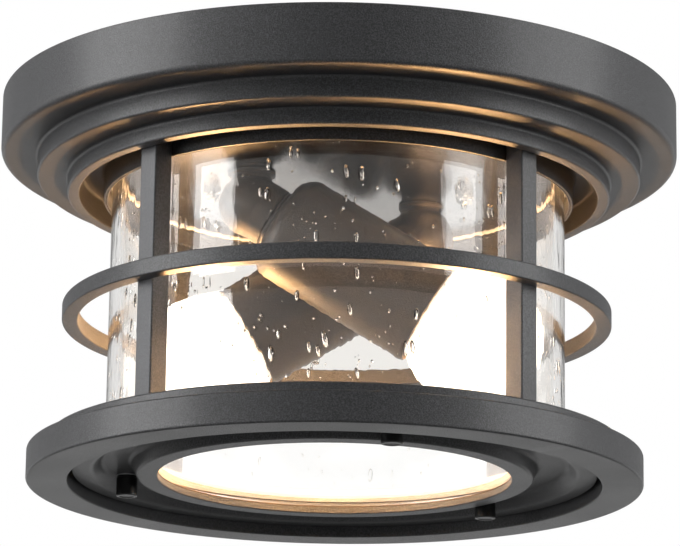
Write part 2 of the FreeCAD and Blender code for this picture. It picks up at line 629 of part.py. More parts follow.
studs = piece("mounting_studs")
stud = drum(studs, "stud", False, "Sizes.stud_radius", "-Sizes.stud_end_z",
            "Sizes.stud_x", "0", "Sizes.stud_end_z")
round_array(studs, "stud_pair", [stud], "2")

lock_nuts = piece("lock_nuts")
lock_nut = hexagon(lock_nuts, "lock_nut", "Sizes.nut_flats", "Sizes.nut_height",
                   "Sizes.stud_x", "Sizes.bar_under_z - Sizes.nut_height")
lock_bore = drum(lock_nuts, "lock_bore", True, "Sizes.stud_hole", "Sizes.nut_height + 2",
                 "Sizes.stud_x", "0", "Sizes.bar_under_z - Sizes.nut_height - 1")
round_array(lock_nuts, "lock_nut_pair", [lock_nut, lock_bore], "2")

cap_nuts = piece("cap_nuts")
cap_hex = hexagon(cap_nuts, "cap_nut_hex", "Sizes.nut_flats", "Sizes.cap_hex",
                  "Sizes.stud_x", "Sizes.plate_z - Sizes.cap_hex")
cap_ball = cap_nuts.newObject("PartDesign::AdditiveSphere", "cap_nut_dome")
bind(cap_ball, "Radius", "Sizes.cap_dome")
cap_ball.Angle2 = 0
bind(cap_ball, "Placement.Base.x", "Sizes.stud_x")
bind(cap_ball, "Placement.Base.z", "Sizes.plate_z - Sizes.cap_hex")
cap_bore = drum(cap_nuts, "cap_nut_bore", True, "Sizes.stud_hole",
                "Sizes.plate_z - Sizes.stud_end_z + Sizes.thread_fit + 1",
                "Sizes.stud_x", "0", "Sizes.stud_end_z - Sizes.thread_fit")
round_array(cap_nuts, "cap_nut_pair", [cap_hex, cap_ball, cap_bore], "2")

earth_screw = piece("earth_screw")
drum(earth_screw, "earth_shank", False, "Sizes.earth_radius", "Sizes.bar_thick",
     "Sizes.earth_x", "0", "Sizes.bar_under_z")
drum(earth_screw, "earth_screw_head", False, "Sizes.earth_head", "Sizes.earth_head_height",
     "Sizes.earth_x", "0", "Sizes.earth_head_z")

# ---- reflector plate, glass cylinder and gaskets -------------------------
plate = piece("reflector_plate")
drum(plate, "plate_disc", False, "Sizes.plate_radius", "Sizes.plate_thick", z="Sizes.plate_z")
plate_stud = drum(plate, "plate_stud_hole", True, "Sizes.stud_clear", "Sizes.plate_thick + 2",
                  "Sizes.stud_x", "0", "Sizes.plate_z - 1")
round_array(plate, "plate_stud_holes", [plate_stud], "2")
plate_nipple = drum(plate, "plate_nipple_hole", True, "Sizes.nipple_hole",
                    "Sizes.plate_thick + 2", "-Sizes.elbow_x", "-Sizes.cup_y",
                    "Sizes.plate_z - 1")
round_array(plate, "plate_nipple_holes", [plate_nipple], "2")

ring("glass_top_gasket", "gasket_outer", "gasket_inner", "glass_top_z", "seat_z")
glass = ring("glass_cylinder", "glass_radius", "glass_bore", "glass_end_z", "glass_top_z")
round_off(glass, "glass_lips", [("glass_radius", "glass_end_z"), ("glass_radius", "glass_top_z")],
          "glass_round")
ring("glass_bottom_gasket", "gasket_outer", "gasket_inner", "base_top_z", "glass_end_z")

# ---- the cage: four posts, the middle ring, the base ring and the band ---
for number in range(int(value("post_count"))):
    post = piece("post_%d" % (number + 1))
    bar = post.newObject("PartDesign::AdditiveBox", "post_bar_%d" % (number + 1))
    bind(bar, "Length", "Sizes.post_side")
    bind(bar, "Width", "Sizes.post_side")
    bind(bar, "Height", "Sizes.post_length")
    bind(bar, "Placement.Base.x", "-Sizes.half_post")
    bind(bar, "Placement.Base.y", "-Sizes.half_post")
    doc.recompute()
    upright = [
        "Edge%d" % count
        for count, edge in enumerate(bar.Shape.Edges, 1)
        if same(edge.Length, value("post_length"))]
    bevel = post.newObject("PartDesign::Chamfer", "post_bevel_%d" % (number + 1))
    bevel.Base = (bar, upright)
    bind(bevel, "Size", "Sizes.post_chamfer")
    drum(post, "post_low_thread_%d" % (number + 1), True, "Sizes.tap_radius",
         "Sizes.tap_depth + 1", z="-1")
    drum(post, "post_high_thread_%d" % (number + 1), True, "Sizes.tap_radius",
         "Sizes.tap_depth + 1", z="Sizes.post_length - Sizes.tap_depth")
    angle = "(Sizes.post_turn + %d * Sizes.post_step)" % number
    turn_about(post, UP, angle)
    bind(post, "Placement.Base.x", "Sizes.post_radius * cos" + angle)
    bind(post, "Placement.Base.y", "Sizes.post_radius * sin" + angle)
    bind(post, "Placement.Base.z", "Sizes.base_top_z")
doc.recompute()

top_screws = piece("post_screws_top")
top_shank = drum(top_screws, "top_screw_shank", False, "Sizes.screw_radius",
                 "Sizes.screw_length + Sizes.canopy_wall", POST_X, POST_Y,
                 "Sizes.recess_z - Sizes.screw_length")
top_head = drum(top_screws, "top_screw_head", False, "Sizes.screw_head", "Sizes.pan_height",
                POST_X, POST_Y, "Sizes.recess_roof_z")
round_array(top_screws, "top_screw_set", [top_shank, top_head], "Sizes.post_count")

low_screws = piece("post_screws_bottom")
low_shank = drum(low_screws, "low_screw_shank", False, "Sizes.screw_radius",
                 "Sizes.screw_length + Sizes.base_thick", POST_X, POST_Y, "Sizes.base_z")
low_head = cone(low_screws, "low_screw_head", False, "Sizes.screw_head", "Sizes.screw_radius",
                "Sizes.flush_height", POST_X, POST_Y, "Sizes.base_z")
round_array(low_screws, "low_screw_set", [low_shank, low_head], "Sizes.post_count")

hoop = ring("middle_ring", "hoop_radius", "hoop_bore", "hoop_under_z", "hoop_z")
notch = hoop.newObject("PartDesign::SubtractiveBox", "post_notch")
bind(notch, "Length", "Sizes.post_side")
bind(notch, "Width", "Sizes.socket_side")
bind(notch, "Height", "Sizes.hoop_height + 2")
turn_about(notch, UP, "Sizes.post_turn")
bind(notch, "Placement.Base.x", "Sizes.post_in * cos(Sizes.post_turn)"
     " + Sizes.socket_half * sin(Sizes.post_turn)")
bind(notch, "Placement.Base.y", "Sizes.post_in * sin(Sizes.post_turn)"
     " - Sizes.socket_half * cos(Sizes.post_turn)")
bind(notch, "Placement.Base.z", "Sizes.hoop_under_z - 1")
round_array(hoop, "post_notches", [notch], "Sizes.post_count")

base = ring("base_ring", "base_radius", "base_bore", "base_z", "base_top_z")
round_off(base, "base_edge", [("base_radius", "base_top_z")], "base_round")
base_hole = drum(base, "base_post_hole", True, "Sizes.free_radius", "Sizes.base_thick + 2",
                 POST_X, POST_Y, "Sizes.base_z - 1")
base_sink = cone(base, "base_post_sink", True, "Sizes.sunk_head", "Sizes.free_radius",
                 "Sizes.flush_height", POST_X, POST_Y, "Sizes.base_z")
round_array(base, "base_post_holes", [base_hole, base_sink], "Sizes.post_count")
band_way = drum(base, "band_screw_way", True, "Sizes.free_radius", "Sizes.base_thick + 2",
                "Sizes.band_screw_radius", "0", "Sizes.base_z - 1")
band_sink = cone(base, "band_screw_sink", True, "Sizes.free_radius", "Sizes.sunk_head",
                 "Sizes.flush_height", "Sizes.band_screw_radius", "0",
                 "Sizes.base_top_z - Sizes.flush_height")
round_array(base, "band_screw_ways", [band_way, band_sink], "Sizes.post_count")
thumb_thread = drum(base, "thumb_thread", True, "Sizes.thumb_hole",
                    "Sizes.thumb_hole_depth + 1", THUMB_X, THUMB_Y, "Sizes.base_z - 1")
round_array(base, "thumb_threads", [thumb_thread], "Sizes.thumb_count")

band = ring("bottom_ring", "band_radius", "band_bore", "band_z", "base_z")
round_off(band, "band_edges", [("band_radius", "band_z"), ("band_radius", "base_z")],
          "band_round")
band_tap = drum(band, "band_thread", True, "Sizes.tap_radius",
                "Sizes.screw_length - Sizes.base_thick + 2", "Sizes.band_screw_radius", "0",
                "Sizes.base_top_z - Sizes.screw_length - 1")
round_array(band, "band_threads", [band_tap], "Sizes.post_count")

band_screws = piece("band_screws")
band_shank = drum(band_screws, "band_screw_shank", False, "Sizes.screw_radius",
                  "Sizes.screw_length", "Sizes.band_screw_radius", "0",
                  "Sizes.base_top_z - Sizes.screw_length")
band_head = cone(band_screws, "band_screw_head", False, "Sizes.screw_radius",
                 "Sizes.screw_head", "Sizes.flush_height", "Sizes.band_screw_radius", "0",
                 "Sizes.base_top_z - Sizes.flush_height")
round_array(band_screws, "band_screw_set", [band_shank, band_head], "Sizes.post_count")

# ---- the door: a pressed frame with its window, seal and snap ring -------
door = piece("door_frame")
spin(door, "door_pressing", [
    ("door_radius", "flange_z"),
    ("door_radius", "flange_top_z"),
    ("flange_in_top", "flange_top_z"),
    ("channel_out_top", "door_top_z"),
    ("pocket_radius", "door_top_z"),
    ("pocket_radius", "groove_top_z"),
    ("groove_radius", "groove_top_z"),
    ("groove_radius", "pane_top_z"),
    ("pocket_radius", "pane_top_z"),
    ("pocket_radius", "ledge_z"),
    ("frame_in", "ledge_z"),
    ("frame_in", "frame_z"),
    ("frame_out", "frame_z"),
    ("channel_in", "channel_z"),
    ("channel_out", "channel_z"),
    ("flange_in", "flange_z")])
round_off(door, "door_curves", [("flange_in", "flange_z"), ("channel_out", "channel_z"),
                                ("channel_out_top", "door_top_z"),
                                ("flange_in_top", "flange_top_z"),
                                ("channel_in", "channel_z")], "door_bend")
round_off(door, "frame_edges", [("frame_out", "frame_z"), ("frame_in", "frame_z")],
          "frame_round")
thumb_way = drum(door, "thumb_way", True, "Sizes.thumb_free", "Sizes.door_wall + 2",
                 THUMB_X, THUMB_Y, "Sizes.channel_z - 1")
round_array(door, "thumb_ways", [thumb_way], "Sizes.thumb_count")

ring("door_gasket", "seal_out", "seal_in", "door_top_z", "base_z")
ring("window_gasket", "pane_radius", "frame_in", "ledge_z", "pane_low_z")
pane = piece("window_glass")
drum(pane, "pane_disc", False, "Sizes.pane_radius", "Sizes.pane_thick", z="Sizes.pane_low_z")
clip = ring("window_clip", "clip_outer", "clip_inner", "pane_top_z", "clip_top_z")
gap = clip.newObject("PartDesign::SubtractiveBox", "clip_gap")
bind(gap, "Length", "2 * Sizes.clip_open")
bind(gap, "Width", "Sizes.clip_open")
bind(gap, "Height", "Sizes.clip_thick + 2")
bind(gap, "Placement.Base.x", "-Sizes.clip_outer - Sizes.clip_open")
bind(gap, "Placement.Base.y", "-Sizes.clip_open / 2")
bind(gap, "Placement.Base.z", "Sizes.pane_top_z - 1")

# ---- three thumb screws and their washers --------------------------------
for number in range(int(value("thumb_count"))):
    angle = "(Sizes.thumb_turn + %d * Sizes.thumb_step)" % number
    thumb = piece("thumb_screw_%d" % (number + 1))
    drum(thumb, "thumb_knob_%d" % (number + 1), False, "Sizes.thumb_radius",
         "Sizes.thumb_height")
    drum(thumb, "thumb_shank_%d" % (number + 1), False, "Sizes.thumb_shank",
         "Sizes.thumb_height + Sizes.shank_length")
    doc.recompute()
    round_off(thumb, "thumb_edge_%d" % (number + 1), [("thumb_radius", AXIS)], "thumb_round")
    bind(thumb, "Placement.Base.x", "Sizes.thumb_circle * cos" + angle)
    bind(thumb, "Placement.Base.y", "Sizes.thumb_circle * sin" + angle)
    bind(thumb, "Placement.Base.z", "Sizes.knob_z")
    washer = piece("thumb_washer_%d" % (number + 1))
    drum(washer, "washer_disc_%d" % (number + 1), False, "Sizes.washer_radius",
         "Sizes.washer_thick")
    drum(washer, "washer_bore_%d" % (number + 1), True, "Sizes.washer_hole",
         "Sizes.washer_thick + 2", z="-1")
    bind(washer, "Placement.Base.x", "Sizes.thumb_circle * cos" + angle)
    bind(washer, "Placement.Base.y", "Sizes.thumb_circle * sin" + angle)
    bind(washer, "Placement.Base.z", "Sizes.washer_z")

# ---- two socket cups on their elbows, with lampholders and lamps ---------
# A cup is drawn on its own axis: the mouth lies at zero and the back up Z.
# The right-hand lamp stands in front of the middle, the left-hand one behind.


def aim(body, way):
    """Lay a piece drawn on a cup's axis along that axis; way is 1 or -1 along X."""
    turn_about(body, ACROSS, "%d * (Sizes.cup_tilt - 90)" % way)
    bind(body, "Placement.Base.x", "%d * Sizes.mouth_x" % way)
    bind(body, "Placement.Base.y", "%d * Sizes.cup_y" % -way)
    bind(body, "Placement.Base.z", "Sizes.mouth_z")


def lamp_unit(side, way):
    """Everything that belongs to one lamp."""
    elbow = piece("elbow_" + side)
    ball = elbow.newObject("PartDesign::AdditiveSphere", "elbow_ball_" + side)
    bind(ball, "Radius", "Sizes.elbow_radius")
    drum(elbow, "elbow_stub_" + side, False, "Sizes.elbow_radius", "Sizes.stub_height")
    lean = "%d * (90 + Sizes.cup_tilt)" % way
    neck = drum(elbow, "elbow_neck_" + side, False, "Sizes.elbow_radius", "Sizes.neck_length")
    turn_about(neck, ACROSS, lean)
    spigot = drum(elbow, "elbow_spigot_" + side, False, "Sizes.spigot_radius",
                  "Sizes.spigot_end")
    turn_about(spigot, ACROSS, lean)
    drum(elbow, "elbow_thread_" + side, True, "Sizes.nipple_tap", "Sizes.nipple_depth + 1",
         z="Sizes.stub_height - Sizes.nipple_depth")
    drum(elbow, "elbow_way_up_" + side, True, "Sizes.wire_bore", "Sizes.stub_height + 1")
    way_out = drum(elbow, "elbow_way_out_" + side, True, "Sizes.wire_bore",
                   "Sizes.spigot_end + 1")
    turn_about(way_out, ACROSS, lean)
    hub = elbow.newObject("PartDesign::SubtractiveSphere", "elbow_way_hub_" + side)
    bind(hub, "Radius", "Sizes.wire_bore")
    bind(elbow, "Placement.Base.x", "%d * Sizes.elbow_x" % -way)
    bind(elbow, "Placement.Base.y", "%d * Sizes.cup_y" % -way)
    bind(elbow, "Placement.Base.z", "Sizes.elbow_z")

    nipple = piece("nipple_" + side)
    drum(nipple, "nipple_tube_" + side, False, "Sizes.nipple_radius",
         "Sizes.nipple_top_z - Sizes.nipple_end_z")
    drum(nipple, "nipple_bore_" + side, True, "Sizes.nipple_bore",
         "Sizes.nipple_top_z - Sizes.nipple_end_z + 2", z="-1")
    bind(nipple, "Placement.Base.x", "%d * Sizes.elbow_x" % -way)
    bind(nipple, "Placement.Base.y", "%d * Sizes.cup_y" % -way)
    bind(nipple, "Placement.Base.z", "Sizes.nipple_end_z")

    nut = piece("nipple_nut_" + side)
    hexagon(nut, "nipple_nut_hex_" + side, "Sizes.big_nut_flats", "Sizes.big_nut_height",
            "0", "0")
    drum(nut, "nipple_nut_bore_" + side, True, "Sizes.nipple_tap",
         "Sizes.big_nut_height + 2", z="-1")
    bind(nut, "Placement.Base.x", "%d * Sizes.elbow_x" % -way)
    bind(nut, "Placement.Base.y", "%d * Sizes.cup_y" % -way)
    bind(nut, "Placement.Base.z", "Sizes.floor_z")

    cup = piece("cup_" + side)
    spin(cup, "cup_shell_" + side, [
        ("cup_inside", AXIS),
        ("cup_radius", AXIS),
        ("cup_radius", "cup_length"),
        ("spigot_hole", "cup_length"),
        ("spigot_hole", "cup_back"),
        ("cup_inside", "cup_back")])
    round_off(cup, "cup_shoulder_" + side, [("cup_radius", "cup_length")], "cup_round")
    round_off(cup, "cup_hollow_" + side, [("cup_inside", "cup_back")], "cup_inner_round")
    aim(cup, way)

    holder = piece("lampholder_" + side)
    spin(holder, "holder_block_" + side, [
        (AXIS, "socket_depth"),
        ("socket_bore", "socket_depth"),
        ("socket_bore", "socket_front"),
        ("socket_radius", "socket_front"),
        ("socket_radius", "wire_pocket"),
        ("heel_radius", "cup_back"),
        ("spigot_hole", "cup_back"),
        ("spigot_hole", "wire_pocket"),
        (AXIS, "wire_pocket")])
    aim(holder, way)

    shell = ring("screw_shell_" + side, "shell_outer", "shell_inner", "shell_start", "shell_end")
    aim(shell, way)

    tongue = piece("contact_tongue_" + side)
    strip = tongue.newObject("PartDesign::AdditiveBox", "tongue_strip_" + side)
    bind(strip, "Length", "Sizes.tongue_length")
    bind(strip, "Width", "Sizes.tongue_width")
    bind(strip, "Height", "Sizes.tongue_thick")
    bind(strip, "Placement.Base.x", "-Sizes.tongue_length / 2")
    bind(strip, "Placement.Base.y", "-Sizes.tongue_width / 2")
    bind(strip, "Placement.Base.z", "Sizes.tongue_z")
    aim(tongue, way)

    globe = piece("lamp_glass_" + side)
    outer = globe.newObject("PartDesign::AdditiveSphere", "globe_ball_" + side)
    bind(outer, "Radius", "Sizes.lamp_radius")
    bind(outer, "Placement.Base.z", "Sizes.globe_z")
    cone(globe, "globe_slope_" + side, False, "Sizes.waist_radius", "Sizes.lamp_neck",
         "Sizes.slope_length", z="Sizes.waist_z")
    drum(globe, "globe_neck_" + side, False, "Sizes.lamp_neck", "Sizes.neck_run",
         z="Sizes.slope_end_z")
    doc.recompute()
    round_off(globe, "globe_blend_" + side, [("lamp_neck", "slope_end_z")], "lamp_blend")
    inner = globe.newObject("PartDesign::SubtractiveSphere", "globe_hollow_" + side)
    bind(inner, "Radius", "Sizes.lamp_hollow")
    bind(inner, "Placement.Base.z", "Sizes.globe_z")
    cone(globe, "slope_hollow_" + side, True, "Sizes.waist_hollow", "Sizes.neck_hollow",
         "Sizes.slope_length", z="Sizes.waist_z")
    drum(globe, "neck_hollow_" + side, True, "Sizes.neck_hollow", "Sizes.neck_run + 1",
         z="Sizes.slope_end_z")
    aim(globe, way)

    cap = piece("lamp_base_" + side)
    drum(cap, "lamp_cap_" + side, False, "Sizes.lamp_base", "Sizes.base_end - Sizes.base_start",
         z="Sizes.base_start")
    aim(cap, way)

    tip = piece("lamp_contact_" + side)
    spin(tip, "lamp_tip_" + side, [
        (AXIS, "base_end"),
        ("tip_width", "base_end"),
        ("tip_radius", "tip_start"),
        ("tip_radius", "tip_end"),
        (AXIS, "tip_end")])
    aim(tip, way)


lamp_unit("right", 1)
lamp_unit("left", -1)

# ---- terminal block and the leads inside the canopy ----------------------
block = piece("terminal_block")
housing = block.newObject("PartDesign::AdditiveBox", "block_housing")
bind(housing, "Length", "Sizes.block_length")
bind(housing, "Width", "Sizes.block_width")
bind(housing, "Height", "Sizes.block_height")
bind(housing, "Placement.Base.x", "-Sizes.block_length / 2")
bind(housing, "Placement.Base.y", "-Sizes.block_width / 2")
bind(housing, "Placement.Base.z", "Sizes.floor_z")
doc.recompute()
long_top = [
    "Edge%d" % count
    for count, edge in enumerate(housing.Shape.Edges, 1)
    if same(edge.Length, value("block_length"))
    and same(edge.CenterOfMass.z, value("block_top_z"))]
block_bevel = block.newObject("PartDesign::Chamfer", "block_bevel")
block_bevel.Base = (housing, long_top)
bind(block_bevel, "Size", "Sizes.block_chamfer")


def bent_path(spots, bends):
    """Straight runs through the spots, joined by arcs of the given radii."""
    edges = []
    start = spots[0]
    for before, corner, after, radius in zip(spots, spots[1:], spots[2:], bends):
        into = (corner - before).normalize()
        out = (after - corner).normalize()
        turn = into.getAngle(out)
        back = radius * math.tan(turn / 2)
        first = corner - into * back
        last = corner + out * back
        inward = (out - into).normalize()
        middle = corner + inward * (radius / math.cos(turn / 2) - radius)
        edges.append(Part.LineSegment(start, first).toShape())
        edges.append(Part.Arc(first, middle, last).toShape())
        start = last
    edges.append(Part.LineSegment(start, spots[-1]).toShape())
    return Part.Wire(edges)


def lead(label, spots, bends, radius):
    """A round lead along a bent path."""
    path = bent_path(spots, bends)
    start = spots[0]
    mouth = Part.Wire(Part.makeCircle(radius, start, spots[1] - spots[0]))
    tube = path.makePipeShell([mouth], True, False)
    holder = doc.addObject("Part::Feature", label)
    holder.Label = label
    holder.Shape = tube
    return holder


def lamp_lead(label, way):
    """From the lampholder's rear pocket, through elbow and nipple, to the block."""
    tilt = math.radians(value("cup_tilt"))
    run = value("wire_pocket")
    x = way * (value("mouth_x") - run * math.cos(tilt))
    z = value("mouth_z") + run * math.sin(tilt)
    y = -way * value("cup_y")
    spots = [
        Vector(x, y, z),
        Vector(-way * value("elbow_x"), y, value("elbow_z")),
        Vector(-way * value("elbow_x"), y, value("lead_high_z")),
        Vector(-way * value("lead_entry_x"), -way * value("lead_entry_y"), value("lead_high_z")),
        Vector(-way * value("lead_entry_x"), -way * value("lead_entry_y"), value("block_top_z"))]
    bends = [value("lead_bend"), value("lead_bend"), value("lead_end_bend")]
    return lead(label, spots, bends, value("lead_radius"))


lamp_lead("lead_right", 1)
lamp_lead("lead_left", -1)
lead("earth_lead", [
    Vector(value("earth_x"), 0, value("earth_head_z")),
    Vector(value("earth_x"), 0, value("lead_high_z")),
    Vector(0, 0, value("lead_high_z")),
    Vector(0, 0, value("block_top_z"))],
    [value("earth_bend"), value("earth_bend")], value("earth_lead_radius"))

# ---- write one file for each piece ---------------------------------------
doc.recompute()
os.makedirs("parts", exist_ok=True)
written = 0
for thing in doc.Objects:
    whole = thing.TypeId == "PartDesign::Body"
    plain = thing.TypeId == "Part::Feature"
    bad = "Invalid" in thing.State or "Error" in thing.State
    if bad:
        raise RuntimeError("%s did not build: %s" % (thing.Label, thing.State))
    if not whole and not plain:
        continue
    if thing.Shape.isNull() or not thing.Shape.isValid():
        raise RuntimeError("%s has no valid shape" % thing.Label)
    thing.Shape.exportStep(os.path.join("parts", thing.Label + ".step"))
    written += 1
    solids = len(thing.Shape.Solids)
    print("%s: %d solid, %.1f mm3" % (thing.Label, solids, thing.Shape.Volume))
print("%d pieces" % written)
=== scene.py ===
# %% [markdown]
# # A porch ceiling lantern
# The lantern hangs from the ceiling plane, which is height zero, so its parts lie at
# negative heights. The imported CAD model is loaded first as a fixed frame. Every piece
# made here stands exactly where that frame has it and rides on one of its bodies.

# %% Load the frame
import json
import math
import bpy
import numpy as np
from mathutils import Matrix, Vector


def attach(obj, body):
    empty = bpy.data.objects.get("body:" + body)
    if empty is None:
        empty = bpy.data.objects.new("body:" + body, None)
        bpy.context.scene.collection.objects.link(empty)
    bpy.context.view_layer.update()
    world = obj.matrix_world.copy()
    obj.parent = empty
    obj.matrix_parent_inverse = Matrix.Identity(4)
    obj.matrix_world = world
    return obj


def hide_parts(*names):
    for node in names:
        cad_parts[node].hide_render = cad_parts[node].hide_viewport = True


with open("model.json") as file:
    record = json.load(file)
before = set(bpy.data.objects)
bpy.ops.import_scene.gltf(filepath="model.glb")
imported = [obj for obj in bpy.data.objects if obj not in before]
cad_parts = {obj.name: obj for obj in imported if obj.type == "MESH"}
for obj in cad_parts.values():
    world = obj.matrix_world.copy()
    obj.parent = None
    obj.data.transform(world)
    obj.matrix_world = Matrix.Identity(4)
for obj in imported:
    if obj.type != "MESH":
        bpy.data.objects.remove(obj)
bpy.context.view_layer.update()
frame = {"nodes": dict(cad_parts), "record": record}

# %% [markdown]
# ## Sizes that pieces share
# Radii, heights and places in millimetres, wherever one piece seats on another. A cup and
# its lamp share one axis, tilted below the level. Spots along it count from the cup's
# mouth, and the other cup is the first one turned half round the middle.

# %% Shared sizes
MM = 0.001
CANOPY_FLOOR = -34.5
PLATE_LOW = -35.5
RECESS_TOP = -30.0
GLASS_IN, GLASS_OUT = 89.0, 93.0
GLASS_LOW, GLASS_HIGH = -141.0, -36.0
POST_CIRCLE = 101.4
BASE_IN = 82.0
BASE_TOP, SEAM, BAND_LOW = -142.5, -147.5, -160.0
PANE_R, PANE_TOP, PANE_LOW = 76.6, -150.4, -153.4
PANE_LEDGE = -153.9
SEAL_LOW = -149.1
KNOB_TOP = -151.4
SCREW_R = 1.95
TILT = 31.3
AXIS = np.array([math.cos(math.radians(TILT)), 0, -math.sin(math.radians(TILT))])
MOUTH = np.array([37.574, -23.5, -92.999])
ELBOW = MOUTH - 85 * AXIS
GLOBE_MIDDLE = MOUTH + 20 * AXIS
SIDES = {"right": 1, "left": -1}
print("elbow", np.round(ELBOW, 2), "globe", np.round(GLOBE_MIDDLE, 2))

# %% [markdown]
# ## Surfaces as whole arrays
# Nearly every part of the lantern is turned on a lathe or is a straight bar, so one idea
# covers them: a grid of points, with rows along one direction and columns round another.
# A surface is kept as a pair, its points in millimetres and a list of face arrays, until
# it becomes a mesh. Faces run so that they point outwards when a profile goes round with
# the material on its left.

# %% Grids, poles and joining
def grid_faces(rows, cols, close_rows, close_cols):
    """Quads of a grid: each joins a point, its neighbour and the two in the next row."""
    index = np.arange(rows * cols).reshape(rows, cols)
    if close_rows:
        index = np.vstack([index, index[:1]])
    if close_cols:
        index = np.hstack([index, index[:, :1]])
    corners = [index[:-1, :-1], index[:-1, 1:], index[1:, 1:], index[1:, :-1]]
    return np.stack(corners, -1).reshape(-1, 4)


def capped(grid, close_rows=False, close_cols=True, low_cap=False, high_cap=False):
    """A surface over a grid (rows, cols, 3). A cap is a fan of triangles from the mean
    point of the first or last row, or from that row's own pole."""
    rows, cols = grid.shape[:2]
    points = grid.reshape(-1, 3)
    faces = [grid_faces(rows, cols, close_rows, close_cols)]
    ring = np.arange(cols)
    following = np.roll(ring, -1)
    if low_cap:
        hub = np.full(cols, len(points))
        points = np.vstack([points, grid[0].mean(0)])
        faces.append(np.stack([hub, following, ring], -1))
    if high_cap:
        hub = np.full(cols, len(points))
        points = np.vstack([points, grid[-1].mean(0)])
        last = (rows - 1) * cols
        faces.append(np.stack([last + ring, last + following, hub], -1))
    return points, faces


def joined(*surfaces):
    """Several surfaces as one: points end to end, face numbers moved on."""
    points, faces, start = [], [], 0
    for own_points, own_faces in surfaces:
        points.append(own_points)
        faces += [block + start for block in own_faces]
        start += len(own_points)
    return np.vstack(points), faces


def moved(surface, shift=(0, 0, 0), turn=None):
    """A surface turned by a 3 by 3 matrix and then shifted."""
    points, faces = surface
    if turn is not None:
        points = points @ np.asarray(turn).T
    return points + np.asarray(shift, float), faces


def about_z(degrees):
    """Matrix that turns about the upright axis."""
    a = math.radians(degrees)
    return np.array([[math.cos(a), -math.sin(a), 0], [math.sin(a), math.cos(a), 0], [0, 0, 1]])


def about_y(degrees):
    """Matrix that turns about the Y axis."""
    a = math.radians(degrees)
    return np.array([[math.cos(a), 0, math.sin(a)], [0, 1, 0], [-math.sin(a), 0, math.cos(a)]])


print("grid of 3 by 4 points has", len(grid_faces(3, 4, False, True)), "quads")

# %% [markdown]
# ## Rounded outlines
# Cast and pressed parts have no dead sharp corners, and it is the thin highlight on each
# small rounding that makes them look real. An outline is written as corners with a radius
# each; the helper swaps each corner for an arc and adds a point just before and after it,
# so that the smooth shading of the arc doesn't bleed into the flat beside it.

# %% Round the corners of an outline
def rounded(corners, closed=True, steps=6, margin=0.2):
    """Outline of (x, y, radius) corners with arcs. An arc starts and ends at the radius
    times the tangent of half the turn from its corner, and its points are the start
    turned about the arc's centre by even shares of the turn."""
    data = np.asarray(corners, float)
    spots, radii = data[:, :2], data[:, 2]
    pieces = []
    for i in range(len(spots)):
        at_end = not closed and i in (0, len(spots) - 1)
        if radii[i] <= 0 or at_end:
            pieces.append(spots[i:i + 1])
            continue
        into = spots[i] - spots[i - 1]
        out = spots[(i + 1) % len(spots)] - spots[i]
        reach = min(np.hypot(*into), np.hypot(*out))
        into, out = into / np.hypot(*into), out / np.hypot(*out)
        turn = math.atan2(into[0] * out[1] - into[1] * out[0], into @ out)
        back = radii[i] * math.tan(abs(turn) / 2)
        start = spots[i] - into * back
        side = np.array([-into[1], into[0]]) * math.copysign(radii[i], turn)
        centre = start + side
        angle = np.linspace(0, turn, steps + 1)
        c, s = np.cos(angle), np.sin(angle)
        arm = start - centre
        arc = centre + np.stack([c * arm[0] - s * arm[1], s * arm[0] + c * arm[1]], -1)
        spare = min(margin, 0.4 * max(reach - 2 * back, 0.02))
        pieces.append(np.vstack([start - into * spare, arc, spots[i] + out * (back + spare)]))
    return np.vstack(pieces)


def lathe(profile, cols=200, closed=True, wobble=None):
    """The profile (radius, height) carried round the Z axis. A closed profile makes a
    ring; an open one starts and ends on the axis, where its ends become poles. wobble
    changes the radius as a function of radius, height and angle, as for a thread."""
    turned = profile if closed else profile[1:-1]
    angle = np.arange(cols) * 2 * math.pi / cols
    radius = np.repeat(turned[:, :1], cols, 1)
    height = np.repeat(turned[:, 1:], cols, 1)
    if wobble is not None:
        radius = wobble(radius, height, angle[None, :])
    grid = np.stack([radius * np.cos(angle), radius * np.sin(angle), height], -1)
    if closed:
        return capped(grid, close_rows=True)
    points, faces = capped(grid, low_cap=True, high_cap=True)
    points[-2] = (0, 0, profile[0, 1])
    points[-1] = (0, 0, profile[-1, 1])
    return points, faces


def square_ring(inner, outer, low, high, radius, cols=180):
    """A ring of square section, its four corners rounded alike."""
    return lathe(rounded([(inner, low, radius), (outer, low, radius), (outer, high, radius),
                          (inner, high, radius)]), cols)


def column(section, levels):
    """A closed section (x, y) carried up through levels (height, inset): at each level
    every point moves towards the middle by the inset."""
    height, inset = levels.T[:, :, None]
    scale = 1 - inset / np.hypot(section[:, 0], section[:, 1])
    x, y = section[:, 0] * scale, section[:, 1] * scale
    return capped(np.stack([x, y, height + 0 * x], -1), low_cap=True, high_cap=True)


def oblong(half_x, half_y, radius, steps=6):
    """The section of a bar or block, its four corners rounded alike."""
    return rounded([(-half_x, -half_y, radius), (half_x, -half_y, radius),
                    (half_x, half_y, radius), (-half_x, half_y, radius)], steps=steps)


def rounded_levels(low, high, radius, steps=4):
    """Heights and insets that round the two ends of a column by a quarter circle."""
    angle = np.linspace(0, math.pi / 2, steps + 1)
    inset = radius * (1 - np.sin(angle))
    rise = radius * (1 - np.cos(angle))
    bottom = np.stack([low + rise, inset], -1)
    top = np.stack([high - rise[::-1], inset[::-1]], -1)
    return np.vstack([bottom, top])


print("a rounded square has", len(oblong(1, 1, 0.2)), "points")

# %% [markdown]
# ## From arrays to pieces
# The mesh is filled with foreach_set, which copies whole arrays at once. Edges sharper
# than a limit are marked sharp. Then the piece gets its finish, its CAD body and the CAD
# nodes that it stands for.

# %% Make a piece
SLOTS = {part["node"]: part["material_slot"] for part in frame["record"]["subparts"]}


